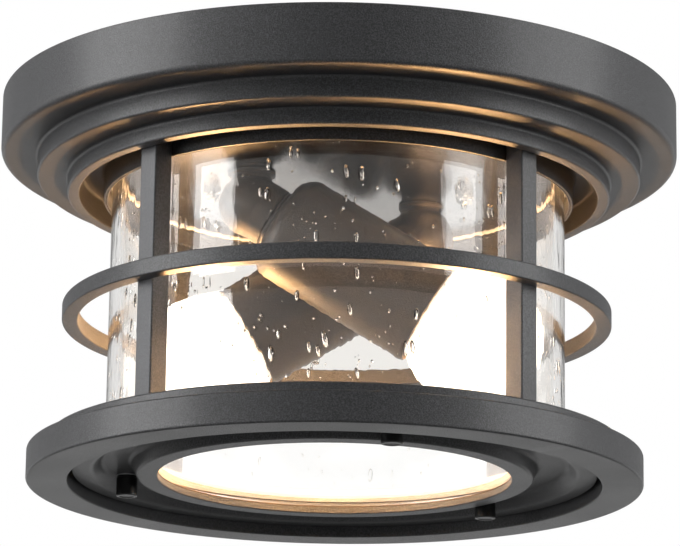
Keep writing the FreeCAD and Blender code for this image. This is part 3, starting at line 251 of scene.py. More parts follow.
def piece(name, surface, finish, body, *nodes, sharp=38, slot=None):
    """One object from a surface in millimetres, placed in its mesh."""
    points, faces = surface
    mesh = bpy.data.meshes.new(name)
    corners = np.concatenate([block.ravel() for block in faces])
    sides = np.concatenate([np.full(len(block), block.shape[1]) for block in faces])
    mesh.vertices.add(len(points))
    mesh.vertices.foreach_set("co", (points * MM).astype(np.float32).ravel())
    mesh.loops.add(len(corners))
    mesh.loops.foreach_set("vertex_index", corners.astype(np.int32))
    mesh.polygons.add(len(sides))
    mesh.polygons.foreach_set("loop_start", (np.cumsum(sides) - sides).astype(np.int32))
    mesh.update(calc_edges=True)
    mesh.shade_smooth()
    mesh.set_sharp_from_angle(angle=math.radians(sharp))
    thing = bpy.data.objects.new(name, mesh)
    bpy.context.collection.objects.link(thing)
    mesh.materials.append(finish)
    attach(thing, body)
    if nodes:
        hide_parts(*nodes)
    triangles = int((sides - 2).sum())
    print(f"{name}: {triangles} triangles on {body}")
    return thing


# %% [markdown]
# ## Finishes
# Each finish is a small tree of nodes round one Principled shader. Patterns read Object
# coordinates, in metres, so a scale of 2000 gives grains half a millimetre across.

# %% Node helpers
def new_finish(name):
    """An empty material with its Principled shader and the piece's own coordinates."""
    finish = bpy.data.materials.new(name)
    finish.use_nodes = True
    tree = finish.node_tree
    shader = next(n for n in tree.nodes if n.type == "BSDF_PRINCIPLED")
    place = tree.nodes.new("ShaderNodeTexCoord").outputs["Object"]
    return finish, tree, shader, place


def noise(tree, place, scale, detail=2.0, roughness=0.5):
    """Noise between 0 and 1 in the piece's own coordinates."""
    texture = tree.nodes.new("ShaderNodeTexNoise")
    texture.inputs["Scale"].default_value = scale
    texture.inputs["Detail"].default_value = detail
    texture.inputs["Roughness"].default_value = roughness
    tree.links.new(place, texture.inputs["Vector"])
    return texture.outputs["Fac"]


def ramp(tree, value, low, high, start, end):
    """Carry a value from low..high to start..end, and hold it outside."""
    scale = tree.nodes.new("ShaderNodeMapRange")
    for socket, number in zip(scale.inputs[1:5], (low, high, start, end)):
        socket.default_value = number
    tree.links.new(value, scale.inputs["Value"])
    return scale.outputs["Result"]


def number_step(tree, operation, first, second):
    """One step of arithmetic; each value is a number or another node's output."""
    step = tree.nodes.new("ShaderNodeMath")
    step.operation = operation
    for socket, value in zip(step.inputs, (first, second)):
        if isinstance(value, float):
            socket.default_value = value
        else:
            tree.links.new(value, socket)
    return step.outputs[0]


def vector_step(tree, operation, first, second=None):
    """One step on a vector, with a fixed second vector where the step needs one. A
    length or a dot product is a number, and everything else a vector."""
    step = tree.nodes.new("ShaderNodeVectorMath")
    step.operation = operation
    tree.links.new(first, step.inputs[0])
    if second is not None:
        step.inputs[1].default_value = second
    return step.outputs["Value" if operation in ("LENGTH", "DOT_PRODUCT") else "Vector"]


def blend(tree, share, first, second):
    """Mix two colours; each is a colour or another node's output."""
    mix = tree.nodes.new("ShaderNodeMix")
    mix.data_type = "RGBA"
    if isinstance(share, float):
        mix.inputs["Factor"].default_value = share
    else:
        tree.links.new(share, mix.inputs["Factor"])
    for socket, colour in ((mix.inputs[6], first), (mix.inputs[7], second)):
        if isinstance(colour, tuple):
            socket.default_value = (*colour, 1)
        else:
            tree.links.new(colour, socket)
    return mix.outputs[2]


def bumps(tree, shader, *layers):
    """Stack bump layers of (height value, distance in metres, strength)."""
    normal = None
    for height, distance, strength in layers:
        bump = tree.nodes.new("ShaderNodeBump")
        bump.inputs["Distance"].default_value = distance
        bump.inputs["Strength"].default_value = strength
        tree.links.new(height, bump.inputs["Height"])
        if normal is not None:
            tree.links.new(normal, bump.inputs["Normal"])
        normal = bump.outputs["Normal"]
    tree.links.new(normal, shader.inputs["Normal"])


def pairs(tree, shader, **links):
    """Link outputs to the shader's sockets, with _ for a space in a socket's name."""
    for socket, output in links.items():
        tree.links.new(output, shader.inputs[socket.replace("_", " ")])


print("finish helpers ready")

# %% [markdown]
# ### Sand-textured powder coat
# The castings wear a graphite powder coat that dries like fine sandpaper. Close up it is
# a field of grains about half a millimetre across, some of which catch the light. One
# noise makes the grains, in colour and in height, a finer one breaks them up, and a slow
# one varies the gloss from place to place. A thin smoother coat over it gives the sheen
# that undersides show when they are seen along their face. Where the mesh is pointy the
# base colour is painted lighter, a painted highlight on each small rounding.

# %% Powder coat
def powder_coat(name, dark, light, rough):
    finish, tree, shader, place = new_finish(name)
    grains = noise(tree, place, 1700, 3, 0.8)
    fine = noise(tree, place, 4200, 2, 0.6)
    patch = noise(tree, place, 22, 3)
    tone = blend(tree, ramp(tree, grains, 0.42, 0.64, 0, 1), dark, light)
    # painted highlight: at pointy edges, on each small rounding, the base colour is painted lighter
    edge = tree.nodes.new("ShaderNodeNewGeometry").outputs["Pointiness"]
    painted_edge_highlight = ramp(tree, edge, 0.52, 0.60, 0, 0.45)
    tone = blend(tree, painted_edge_highlight, tone, tuple(1.7 * v for v in light))
    pairs(tree, shader, Base_Color=tone,
          Roughness=ramp(tree, patch, 0.3, 0.7, rough - 0.04, rough + 0.05))
    shader.inputs["Coat Weight"].default_value = 0.35
    shader.inputs["Coat Roughness"].default_value = 0.30
    bumps(tree, shader, (grains, 0.00036, 0.85), (fine, 0.00012, 0.6))
    return finish


GRAPHITE = powder_coat("graphite_powder_coat", (0.009, 0.0092, 0.0102), (0.072, 0.073, 0.079), 0.42)
CUP_COAT = powder_coat("dark_cup_coat", (0.011, 0.0085, 0.0075), (0.044, 0.036, 0.032), 0.42)
print(GRAPHITE.name, CUP_COAT.name)

# %% [markdown]
# ### Glass, clear and seeded
# Drawn glass is never quite flat: slow waves and finer lines, longer than wide, bend what
# is seen through it, little in front and much more where the wall is seen edge on.
# The glass casts no shadow of its own, so that the lamps inside can light the cage.

# %% Glass
def clear_glass(name, tint, wave, depth, streak=0.0):
    finish, tree, shader, place = new_finish(name)
    shader.inputs["Base Color"].default_value = (*tint, 1)
    shader.inputs["Transmission Weight"].default_value = 1.0
    shader.inputs["IOR"].default_value = 1.5
    drawn = tree.nodes.new("ShaderNodeMapping")
    drawn.inputs["Scale"].default_value = (1, 1, 0.3)
    tree.links.new(place, drawn.inputs["Vector"])
    ripple = noise(tree, drawn.outputs[0], wave, 1)
    lines = noise(tree, drawn.outputs[0], wave * 4, 1)
    pairs(tree, shader, Roughness=ramp(tree, ripple, 0.3, 0.7, 0.0, 0.012))
    bumps(tree, shader, (ripple, depth, 1.0), (lines, streak, 1.0))
    return finish


SEEDED = clear_glass("seeded_glass", (0.985, 0.972, 0.95), 70, 0.00010, 0.00004)
PANE = clear_glass("window_pane", (0.985, 0.99, 0.985), 20, 0.00001)
print(SEEDED.name, PANE.name)

# %% [markdown]
# ### The lit lamps
# An opal lamp's globe is an even, nearly white glow, brightest round its widest part and
# weaker at its tip and neck, where the light inside is further off. The emission follows
# the distance along the lamp's axis. The sizes of X and Z are the same for both lamps, so
# one sum of the two serves both. What really lights the cage is a warm point light in the
# middle of each globe, added with the other lights; the globe casts no shadow of it.

# %% Opal lamp
WIDEST = float(abs(AXIS) @ abs(GLOBE_MIDDLE)) * MM
FADE = 33 * MM


def opal_lamp(name, glow):
    """Emission falls from 1.1 to 0.4 with the square of the distance from the widest
    part over the fading length."""
    finish, tree, shader, place = new_finish(name)
    coat = noise(tree, place, 300, 2)
    along = vector_step(tree, "DOT_PRODUCT", vector_step(tree, "ABSOLUTE", place), abs(AXIS))
    off = number_step(tree, "SUBTRACT", along, WIDEST)
    share = number_step(tree, "DIVIDE", off, FADE)
    squared = number_step(tree, "MULTIPLY", share, share)
    shader.inputs["Emission Color"].default_value = (*glow, 1)
    pairs(tree, shader, Base_Color=blend(tree, coat, (0.9, 0.88, 0.84), (0.95, 0.93, 0.9)),
          Roughness=ramp(tree, coat, 0.3, 0.7, 0.3, 0.4),
          Emission_Strength=ramp(tree, squared, 0, 1, 1.1, 0.4))
    bumps(tree, shader, (coat, 0.00003, 0.2))
    return finish


LAMP = opal_lamp("opal_lamp", (1.0, 0.97, 0.92))
print(LAMP.name)

# %% [markdown]
# ### Bare and plated metals
# Plated steel, brass and polished aluminium share one recipe: metal with a base colour,
# blotches in its roughness, fine marks from how it was worked, and pointy edges painted
# brighter as a painted highlight. On the spun plate the marks are rings round its middle,
# made by a noise that reads only the radius.

# %% Metals
def bare_metal(name, colour, rough, grain=900, depth=0.00002, spun=False):
    finish, tree, shader, place = new_finish(name)
    shader.inputs["Metallic"].default_value = 1.0
    marks_at = place
    if spun:
        flat = vector_step(tree, "MULTIPLY", place, (1, 1, 0))
        marks_at = vector_step(tree, "LENGTH", flat)
    marks = noise(tree, marks_at, grain, 3)
    cloud = noise(tree, place, 40, 3)
    darker = tuple(0.82 * v for v in colour)
    # painted highlight: pointy edges are painted a brighter metal colour
    edge = tree.nodes.new("ShaderNodeNewGeometry").outputs["Pointiness"]
    painted_edge_glint = ramp(tree, edge, 0.52, 0.62, 0, 0.6)
    tone = blend(tree, cloud, darker, colour)
    bright = tuple(min(1.0, 1.15 * v) for v in colour)
    pairs(tree, shader, Base_Color=blend(tree, painted_edge_glint, tone, bright),
          Roughness=ramp(tree, cloud, 0.3, 0.7, rough * 0.8, rough * 1.25))
    bumps(tree, shader, (marks, depth, 0.35))
    return finish


PLATE = bare_metal("polished_plate", (0.50, 0.50, 0.51), 0.19, 1500, 0.000004, spun=True)
ZINC = bare_metal("zinc_plate", (0.62, 0.63, 0.64), 0.32)
NICKEL = bare_metal("nickel_plate", (0.72, 0.69, 0.64), 0.16)
BRASS = bare_metal("brass", (0.72, 0.52, 0.22), 0.24)
BLACK_STEEL = bare_metal("blackened_steel", (0.035, 0.034, 0.034), 0.38)
print(PLATE.name, ZINC.name, NICKEL.name, BRASS.name, BLACK_STEEL.name)

# %% [markdown]
# ### Moulded, fired and foamed stuff
# Porcelain, nylon, silicone, foam and wire covers differ in colour, gloss and the size of
# their surface texture, so one function takes these as values.

# %% Plain materials
def moulded(name, colour, rough, grain, depth, change=0.12):
    finish, tree, shader, place = new_finish(name)
    texture = noise(tree, place, grain, 3)
    cloud = noise(tree, place, grain / 12, 2)
    other = tuple(v * (1 - change) for v in colour)
    pairs(tree, shader, Base_Color=blend(tree, cloud, colour, other),
          Roughness=ramp(tree, texture, 0.3, 0.7, rough * 0.85, rough * 1.15))
    bumps(tree, shader, (texture, depth, 0.5))
    return finish


PORCELAIN = moulded("porcelain", (0.86, 0.84, 0.79), 0.14, 500, 0.00003, 0.05)
BROWN_RUBBER = moulded("brown_rubber", (0.055, 0.034, 0.018), 0.45, 1100, 0.00003)
NYLON = moulded("natural_nylon", (0.84, 0.84, 0.80), 0.42, 900, 0.00003)
SILICONE = moulded("white_silicone", (0.78, 0.78, 0.76), 0.48, 1200, 0.00003)
FOAM = moulded("black_foam", (0.028, 0.028, 0.028), 0.9, 1500, 0.0004, 0.4)
LEAD_COVER = moulded("white_lead_cover", (0.80, 0.79, 0.75), 0.35, 1200, 0.00002)
EARTH_COVER = moulded("green_lead_cover", (0.08, 0.30, 0.07), 0.35, 1200, 0.00002)
KNOB_BLACK = moulded("black_knob", (0.014, 0.014, 0.014), 0.34, 1400, 0.00005, 0.3)
print("plain materials ready")

# %% [markdown]
# ## The canopy
# A spun and cast pan in three steps. Under it a recess takes the four posts, and a thin
# collar hides the upper end of the glass. Its whole section is one closed outline, with a
# fine groove in the collar's lip, turned about the axis.

# %% Canopy
WALL = 2.5
COLLAR_IN, COLLAR_OUT = 94.6, 96.3
RECESS_OUT, STEP_OUT, BROAD_OUT, RIM_OUT = 106.5, 111.4, 124.0, 139.0
STEP_LOW, BROAD_LOW, RIM_LOW, RIM_TOP = -40.2, -33.4, -24.6, -0.5
LIP_GROOVE = [(COLLAR_IN, -42.0, 0.2), (95.1, -42.2, 0.1), (95.35, -41.4, 0.1),
              (95.6, -42.2, 0.1), (COLLAR_OUT, -42.1, 0.2)]
UNDERSIDE = [(COLLAR_OUT, RECESS_TOP, 2), (RECESS_OUT, RECESS_TOP, 1.2),
             (RECESS_OUT, STEP_LOW, 0.5), (STEP_OUT, STEP_LOW, 0.9),
             (STEP_OUT, BROAD_LOW, 1.1), (BROAD_OUT, BROAD_LOW, 1.0),
             (BROAD_OUT, RIM_LOW, 1.2), (RIM_OUT, RIM_LOW, 2.4), (RIM_OUT, RIM_TOP, 0.5)]
INSIDE = [(RIM_OUT - WALL, RIM_TOP, 0.5), (RIM_OUT - WALL, RIM_LOW + WALL, 1.5),
          (BROAD_OUT - WALL, RIM_LOW + WALL, 1.5), (BROAD_OUT - WALL, BROAD_LOW + WALL, 1.5),
          (STEP_OUT - WALL, BROAD_LOW + WALL, 1.5), (STEP_OUT - WALL, RECESS_TOP + WALL, 1),
          (92.9, RECESS_TOP + WALL, 1), (92.9, CANOPY_FLOOR + WALL, 1)]
outline = rounded([(0, CANOPY_FLOOR, 0), (COLLAR_IN, CANOPY_FLOOR, 0)] + LIP_GROOVE + UNDERSIDE
                  + INSIDE + [(0, CANOPY_FLOOR + WALL, 0)], closed=False)
piece("canopy_pan", lathe(outline, 256, closed=False), GRAPHITE, "fixture", "canopy")

# %% [markdown]
# ## The cage
# Four square posts stand between the canopy's recess and the base ring. A flat hoop is
# welded round them half way up. The base ring and the deeper band below it meet in a fine
# dark seam, which the two separate roundings give.

# %% Posts, hoop, base ring and band
POST_HALF, POST_CORNER = 4.4, 0.7
post_section = oblong(POST_HALF, POST_HALF, POST_CORNER, steps=5)
post_ends = rounded_levels(BASE_TOP, RECESS_TOP, 0.3, 2)
between = [[-110, 0], [-80, 0], [-50, 0]]
post_levels = np.vstack([post_ends[:3], between, post_ends[3:]])
post = moved(column(post_section, post_levels), (POST_CIRCLE, 0, 0))
for number in range(4):
    turn = about_z(45 + 90 * number)
    name = f"post_{number + 1}"
    piece("upright_" + name, moved(post, turn=turn), GRAPHITE, "fixture", name)

HOOP_IN, HOOP_OUT, HOOP_LOW, HOOP_TOP = 105.5, 112.0, -93.8, -87.1
hoop = rounded([(HOOP_IN, HOOP_LOW, 0.5), (HOOP_OUT, HOOP_LOW, 0.6),
                (HOOP_OUT, HOOP_TOP, 0.6), (HOOP_IN, HOOP_TOP, 0.5)])
piece("cage_hoop", lathe(hoop, 224), GRAPHITE, "fixture", "middle_ring")
BASE_OUT, BAND_IN, BAND_OUT = 116.5, 107.9, 124.5
base = rounded([(BASE_IN, SEAM + 0.05, 0.5), (BASE_OUT - 0.1, SEAM + 0.05, 0.25),
                (BASE_OUT, BASE_TOP, 1.0), (BASE_IN, BASE_TOP, 0.6)])
piece("base_plate_ring", lathe(base, 240), GRAPHITE, "fixture", "base_ring")
band = rounded([(BAND_IN, BAND_LOW, 0.5), (BAND_OUT, BAND_LOW, 0.9), (BAND_OUT, SEAM, 0.9),
                (BAND_IN, SEAM, 0.4)])
piece("deep_band", lathe(band, 256), GRAPHITE, "fixture", "bottom_ring")

# %% [markdown]
# ## The seeded glass
# The cylinder is a thick wall with fire-polished ends. Seeds are drawn-out air bubbles,
# taller than wide, at all depths in the wall, and they are modelled as what they are:
# small closed hollows whose faces point into the hollow, so that light bends at them as
# it does in real glass. The larger ones in front sit where this light has them, each with
# its angle, height and size; random draws from a fixed start scatter the rest and the
# pinprick ones. The gasket under the glass has a thin white lip over the bare inner edge
# of the base ring: painted light, a pale sheet standing in for the lamp light that floods that
# edge.

# %% Glass cylinder with seeds
wall = square_ring(GLASS_IN, GLASS_OUT, GLASS_LOW, GLASS_HIGH, 1.2, cols=256)
SEEDS_IN_FRONT = np.array([
    (-17.4, -50, 1.0), (-11.8, -45.5, 1.0), (-10.1, -46, 0.8), (1.8, -53.6, 1.1),
    (5.6, -54, 1.25), (14.4, -58, 1.1), (-19.3, -61, 0.8), (-17.7, -61.5, 1.0),
    (1.8, -64.4, 0.6), (4.0, -64.8, 0.5), (-5.3, -79.4, 1.0), (4.5, -79.6, 0.9),
    (-22.4, -97.4, 1.2), (4.7, -94, 1.1), (-8.2, -91.3, 0.7), (-9.7, -103, 0.9),
    (3.1, -108.6, 1.0), (-16.0, -125.6, 1.3), (-2.8, -120.5, 1.4), (-6.6, -123.6, 0.9),
    (-4.4, -125, 1.0), (16.8, -122.8, 1.3), (18.6, -122, 1.1), (19.4, -109, 1.0),
    (-14.1, -118, 0.8), (-6.6, -133.8, 0.8), (5.0, -133.6, 0.9), (-34.7, -70.4, 1.0),
    (-31.2, -72.4, 0.9), (-42.4, -68.8, 1.0), (-40.6, -69.3, 1.0), (40.0, -62.8, 1.2),
    (41.3, -62.4, 1.0), (30.9, -55.3, 0.7)])
chance = np.random.default_rng(7)
bubble_arc = np.linspace(0, math.pi, 7)
bubble = np.stack([np.sin(bubble_arc), -np.cos(bubble_arc)], -1)


def seeds(angle, height, width, length, depth):
    """Hollow ellipsoids: a unit ball of few faces, stretched to half-width, half-length
    and half-depth, leaned a little, moved into the wall and turned to its angle."""
    ball, faces = lathe(bubble, 8, closed=False)
    lean = chance.normal(0, 0.09, len(angle))
    radius = (GLASS_IN + GLASS_OUT) / 2 + chance.uniform(-0.5, 0.5, len(angle))
    x = ball[None, :, 0] * depth[:, None]
    y = ball[None, :, 1] * width[:, None] + ball[None, :, 2] * (length * lean)[:, None]
    z = ball[None, :, 2] * length[:, None] + height[:, None]
    out = x + radius[:, None]
    a = np.radians(angle)[:, None]
    points = np.stack([out * np.cos(a) - y * np.sin(a), out * np.sin(a) + y * np.cos(a), z], -1)
    shift = (np.arange(len(angle)) * len(ball))[:, None, None]
    blocks = [(block[None, :, ::-1] + shift).reshape(-1, block.shape[1]) for block in faces]
    return points.reshape(-1, 3), blocks


front = SEEDS_IN_FRONT
front_seeds = seeds(front[:, 0] - 90, front[:, 1], 0.95 * front[:, 2], 2.5 * front[:, 2],
                    0.75 * front[:, 2])
LOOSE, PINS = 150, 820
angle = chance.uniform(-52, 232, LOOSE)
grow = chance.uniform(0.5, 1.25, LOOSE)
loose_seeds = seeds(angle, chance.uniform(-137, -44, LOOSE), 0.85 * grow, 2.4 * grow, 0.7 * grow)
size = 0.2 + 0.4 * chance.random(PINS) ** 2
pin_seeds = seeds(chance.uniform(0, 360, PINS), chance.uniform(-139, -40, PINS), size,
                  size * chance.uniform(1, 1.8, PINS), size)
glass = piece("seeded_cylinder", joined(wall, front_seeds, loose_seeds, pin_seeds), SEEDED,
              "fixture", "glass_cylinder")
glass.visible_shadow = False

in_edge, out_edge = GLASS_IN - 0.6, GLASS_OUT + 0.6
ring = square_ring(in_edge, out_edge, GLASS_HIGH, CANOPY_FLOOR, 0.4)
piece("upper_glass_gasket", ring, SILICONE, "fixture", "glass_top_gasket")
# painted light: the white lip over the base ring's inner edge stands in for the lamp light that
# floods it
lip_in, lip_out, lip_top = BASE_IN - 0.6, BASE_IN - 0.05, BASE_TOP + 0.6
trim = rounded([(lip_in, SEAM + 0.2, 0.15), (lip_out, SEAM + 0.2, 0.1),
                (lip_out, BASE_TOP + 0.05, 0.05), (out_edge, BASE_TOP + 0.05, 0.1),
                (out_edge, GLASS_LOW, 0.3), (in_edge, GLASS_LOW, 0.3),
                (in_edge, lip_top, 0.1), (lip_in, lip_top, 0.3)])
piece("lower_glass_gasket", lathe(trim, 200), SILICONE, "fixture", "glass_bottom_gasket")
piece("ceiling_foam", square_ring(131.9, 136.4, -5, 0, 0.8), FOAM, "fixture", "ceiling_gasket")

# %% [markdown]
# ## The reflector plate
# A polished disc lies flat under the canopy floor and throws the light down. Its edge is
# rolled a little.

# %% Reflector plate
PLATE_R = 87.6
plate = rounded([(0, PLATE_LOW, 0), (PLATE_R, PLATE_LOW, 0.4), (PLATE_R, CANOPY_FLOOR, 0.4),
                 (0, CANOPY_FLOOR, 0)], closed=False)
piece("spun_reflector", lathe(plate, 220, closed=False), PLATE, "fixture", "reflector_plate")

# %% [markdown]
# ## Cups on their elbows
# Each lamp sits in a spun cup with a rounded shoulder and a rolled lip. The cup is drawn
# on its own axis, mouth at zero and back up Z, then laid along the real axis, 31.3
# degrees below the level. Behind it a cast elbow turns up to the plate: a ball with a
# narrow foot above it and a stub that leans along the cup's axis.

# %% Cups and elbows
def on_side(spot, way):
    """A spot of the right-hand lamp, or its twin half a turn round the middle."""
    return np.asarray(spot) * (way, way, 1)


def aimed(surface, way):
    """Lay a surface drawn on a cup's own axis along that axis."""
    return moved(surface, on_side(MOUTH, way), about_y(way * (TILT - 90)))


BORE, CUP_R, CUP_BACK, LEAD_HOLE = 21.25, 22.25, 72.0, 5.2
cup = rounded([(BORE, 0, 0.3), (21.6, 0, 0.3), (CUP_R, 0.5, 0.3), (CUP_R, CUP_BACK, 8),
               (LEAD_HOLE, CUP_BACK, 0.2), (LEAD_HOLE, CUP_BACK - 1, 0.2),
               (BORE, CUP_BACK - 1, 7)], steps=10)
stub_top = PLATE_LOW - ELBOW[2]
ball_arc = np.linspace(0, math.pi, 33)
ball = 13.0 * np.stack([np.sin(ball_arc), -np.cos(ball_arc)], -1)
ball[0, 0] = ball[-1, 0] = 0
stub = rounded([(0, 0, 0), (8.4, 0, 0), (8.4, 11.6, 0.8), (9.6, stub_top - 1.2, 0.3),
                (9.6, stub_top, 0.3), (0, stub_top, 0)], closed=False)
neck = rounded([(0, 0, 0), (12.5, 0, 0), (12.5, 10.6, 0.4), (12.0, 11.1, 0.2),
                (12.5, 11.7, 0.3), (12.5, 13.0, 0.3), (5.1, 13.0, 0.2), (5.1, 19, 0.3),
                (0, 19, 0)], closed=False)
for side, way in SIDES.items():
    piece("spun_cup_" + side, aimed(lathe(cup, 144), way), CUP_COAT, "fixture", "cup_" + side)
    leaning = moved(lathe(neck, 96, closed=False), turn=about_y(way * (90 + TILT)))
    elbow = joined(lathe(ball, 96, closed=False), lathe(stub, 96, closed=False), leaning)
    piece("cast_elbow_" + side, moved(elbow, on_side(ELBOW, way)), CUP_COAT, "fixture",
          "elbow_" + side)

# %% [markdown]
# ## Lampholders and lamps
# Inside each cup a porcelain holder carries a brass screw shell. The shell and the lamp's
# base both have the coarse rounded lamp thread: the radius rises and falls as a sine of
# the height, shifted by the angle, so the crest climbs one pitch in a turn.

# %% Holders, shells, tongues and lamps
PITCH = 3.63


def lamp_thread(crest):
    """A radius that waves along a helix, by a sine of height over pitch less the angle."""
    def wave(radius, height, angle):
        phase = 2 * math.pi * height / PITCH - angle
        ends = np.clip(np.minimum(height - 28, 48.5 - height) / 2, 0, 1)
        return radius + crest * ends * (np.sin(phase) - 1) / 2
    return wave


holder = rounded([(0, 52.7, 0), (14, 52.7, 0.5), (14, 26, 1.0), (19, 26, 1.5), (19, 60, 2.0),
                  (13.4, 71, 0.8), (5.2, 71, 0.5), (5.2, 60, 0.3), (0, 60, 0)], closed=False)
rows = np.linspace(27.4, 49.8, 90)
shell_out = np.stack([np.full(len(rows), 13.9), rows], -1)
shell_in = np.stack([np.full(len(rows), 13.62), rows[::-1]], -1)
shell = np.vstack([[(13.75, 27.2)], shell_out, [(13.75, 50)], shell_in])
cap_rows = np.linspace(27.4, 49.0, 90)
cap_side = np.stack([np.full(len(cap_rows), 13.08), cap_rows], -1)
cap = np.vstack([[(0, 26.5), (12.6, 26.5), (12.95, 26.7)], cap_side,
                 [(12.3, 49.6), (11, 50), (0, 50)]])
tip = rounded([(0, 50, 0), (10.5, 50, 0.2), (5.4, 51, 0.2), (0, 51, 0)], closed=False)
button = rounded([(0, 50.9, 0), (4.6, 50.9, 0.2), (4.4, 51.8, 0.5), (0, 51.8, 0)], closed=False)

GLOBE_R, NECK_R, SHOULDER = 27.5, 13.4, math.radians(35)
globe_arc = np.linspace(-math.pi / 2, SHOULDER, 44)
round_end = GLOBE_R * np.stack([np.cos(globe_arc), np.sin(globe_arc)], -1) + (0, -20)
round_end[0, 0] = 0
waist_r, waist_z = round_end[-1]
slope = (waist_r - NECK_R) / math.tan(SHOULDER)
neck_line = rounded([(waist_r, waist_z, 0), (NECK_R, waist_z + slope, 14), (13.2, 26.4, 0)],
                    closed=False, steps=14)
bulb = np.vstack([round_end, neck_line[1:], [(0, 26.5)]])
tongue = column(oblong(9, 3.5, 1), rounded_levels(51.9, 52.7, 0.15, 2))
for side, way in SIDES.items():
    lamp = "lamp_" + side
    piece("porcelain_holder_" + side, aimed(lathe(holder, 96, closed=False), way), PORCELAIN,
          "fixture", "lampholder_" + side)
    liner = aimed(lathe(shell, 96, wobble=lamp_thread(0.5)), way)
    piece("threaded_shell_" + side, liner, BRASS, "fixture", "screw_shell_" + side)
    piece("spring_tongue_" + side, aimed(tongue, way), BRASS, "fixture",
          "contact_tongue_" + side)
    globe = piece("lit_globe_" + side, aimed(lathe(bulb, 96, closed=False), way), LAMP, lamp,
                  "lamp_glass_" + side)
    globe.visible_shadow = False
    base_cap = aimed(lathe(cap, 96, closed=False, wobble=lamp_thread(0.7)), way)
    piece("threaded_base_" + side, base_cap, NICKEL, lamp, "lamp_base_" + side)
    ends = joined(lathe(tip, 64, closed=False), lathe(button, 48, closed=False))
    piece("solder_contact_" + side, aimed(ends, way), BRASS, lamp, "lamp_contact_" + side)

# %% [markdown]
# ## The door and its window
# The door is one pressing: a flat flange, a soft curve up to a channel for the thumb
# screws, and a deeper ring that carries the window on a ledge. A seal lies on its top,
# a snap ring holds the pane down on its gasket.

# %% Door, window, gasket and seal
LEDGE_IN, POCKET, GROOVE = 71.5, 77.1, 77.9
CHANNEL = KNOB_TOP + 0.5
DOOR_OUTLINE = [
    (106, -155.5, 0.5), (106, -153.7, 0.5), (98.9, -153.7, 2.4), (94.9, SEAL_LOW, 2.4),
    (POCKET, SEAL_LOW, 0.3), (POCKET, -149.65, 0.1), (GROOVE, -149.65, 0.1),
    (GROOVE, PANE_TOP, 0.1), (POCKET, PANE_TOP, 0.1), (POCKET, PANE_LEDGE, 0.4),
    (LEDGE_IN, PANE_LEDGE, 0.4), (LEDGE_IN, -156.7, 0.5), (79.9, -156.7, 1.3),
    (82.3, CHANNEL, 2.4), (94, CHANNEL, 3.0), (98, -155.5, 3.0)]
door = rounded(DOOR_OUTLINE[::-1], steps=7)
piece("pressed_door", lathe(door, 256), GRAPHITE, "door", "door_frame")
pane = rounded([(0, PANE_LOW, 0), (PANE_R, PANE_LOW, 0.5), (PANE_R, PANE_TOP, 0.5),
                (0, PANE_TOP, 0)], closed=False)
window = piece("round_window", lathe(pane, 200, closed=False), PANE, "door", "window_glass")
window.visible_shadow = False
seal = square_ring(82.5, 85.5, SEAL_LOW, SEAM, 0.5)
piece("door_seal", seal, SILICONE, "door", "door_gasket")
gasket = square_ring(LEDGE_IN + 0.1, PANE_R, PANE_LEDGE, PANE_LOW, 0.15)
piece("pane_gasket", gasket, BROWN_RUBBER, "door", "window_gasket")

# %% [markdown]
# ## Fasteners
# Threads use the same helix idea with a sharper, triangular wave. A screw head is a polar
# grid whose height is a low dome less a cross-shaped recess; a hexagon is a radius that
# grows between its flats as one over the cosine.

# %% Threads, heads and nuts
def triangle_thread(pitch, depth, low, high):
    """A radius cut by a triangular wave along a helix, faded out at both ends."""
    def cut(radius, height, angle):
        turn = height / pitch - angle / (2 * math.pi)
        tooth = np.abs(2 * (turn - np.floor(turn)) - 1)
        ends = np.clip(np.minimum(height - low, high - height) / pitch, 0, 1)
        return radius - depth * ends * tooth
    return cut


def threaded_rod(radius, low, high, pitch=0.7, cols=24, fade=0.6):
    """A rod with pointed thread and narrowed ends, six rows to each pitch."""
    rows = np.linspace(low + fade, high - fade, max(int((high - low) / pitch * 6), 4))
    side = np.stack([np.full(len(rows), radius), rows], -1)
    profile = np.vstack([[(0, low), (radius - 0.4, low)], side,
                         [(radius - 0.4, high), (0, high)]])
    thread = triangle_thread(pitch, 0.38, low, high)
    return lathe(profile, cols, closed=False, wobble=thread)


def cross_head(radius, height, cone_depth=0.0):
    """A screw head over the plane z = 0: a dome of the given height whose top carries a
    cross recess, over a flat underside or a cone of the given depth. The dome is the
    root of one less the fourth power of the share of the radius; the recess lies where
    X or Y is smaller than an arm, and is deepest in the middle."""
    share = np.concatenate([np.linspace(0.04, 0.62, 16), np.linspace(0.68, 1, 8)])
    angle = np.arange(48) * 2 * math.pi / 48
    x = radius * share[:, None] * np.cos(angle)
    y = radius * share[:, None] * np.sin(angle)
    arm = 0.20 * radius
    deep = np.minimum(np.abs(x), np.abs(y))
    recess = np.clip((arm - deep) / (0.4 * arm), 0, 1)
    recess = recess * np.clip((0.6 * radius - np.hypot(x, y)) / (0.15 * radius), 0, 1)
    dome = height * np.sqrt(np.clip(1 - (share[:, None] * 0.93) ** 4, 0, 1))
    z = dome - recess * 0.62 * radius * (1 - 0.6 * np.hypot(x, y) / radius)
    top = np.stack([x, y, z * np.ones_like(x)], -1)
    circle = np.stack([np.cos(angle), np.sin(angle), 0 * angle], -1)
    under = (radius - cone_depth) * circle - (0, 0, cone_depth + 0.02)
    grid = np.concatenate([under[None], radius * circle[None], top[::-1]])
    return capped(grid, low_cap=True, high_cap=True)


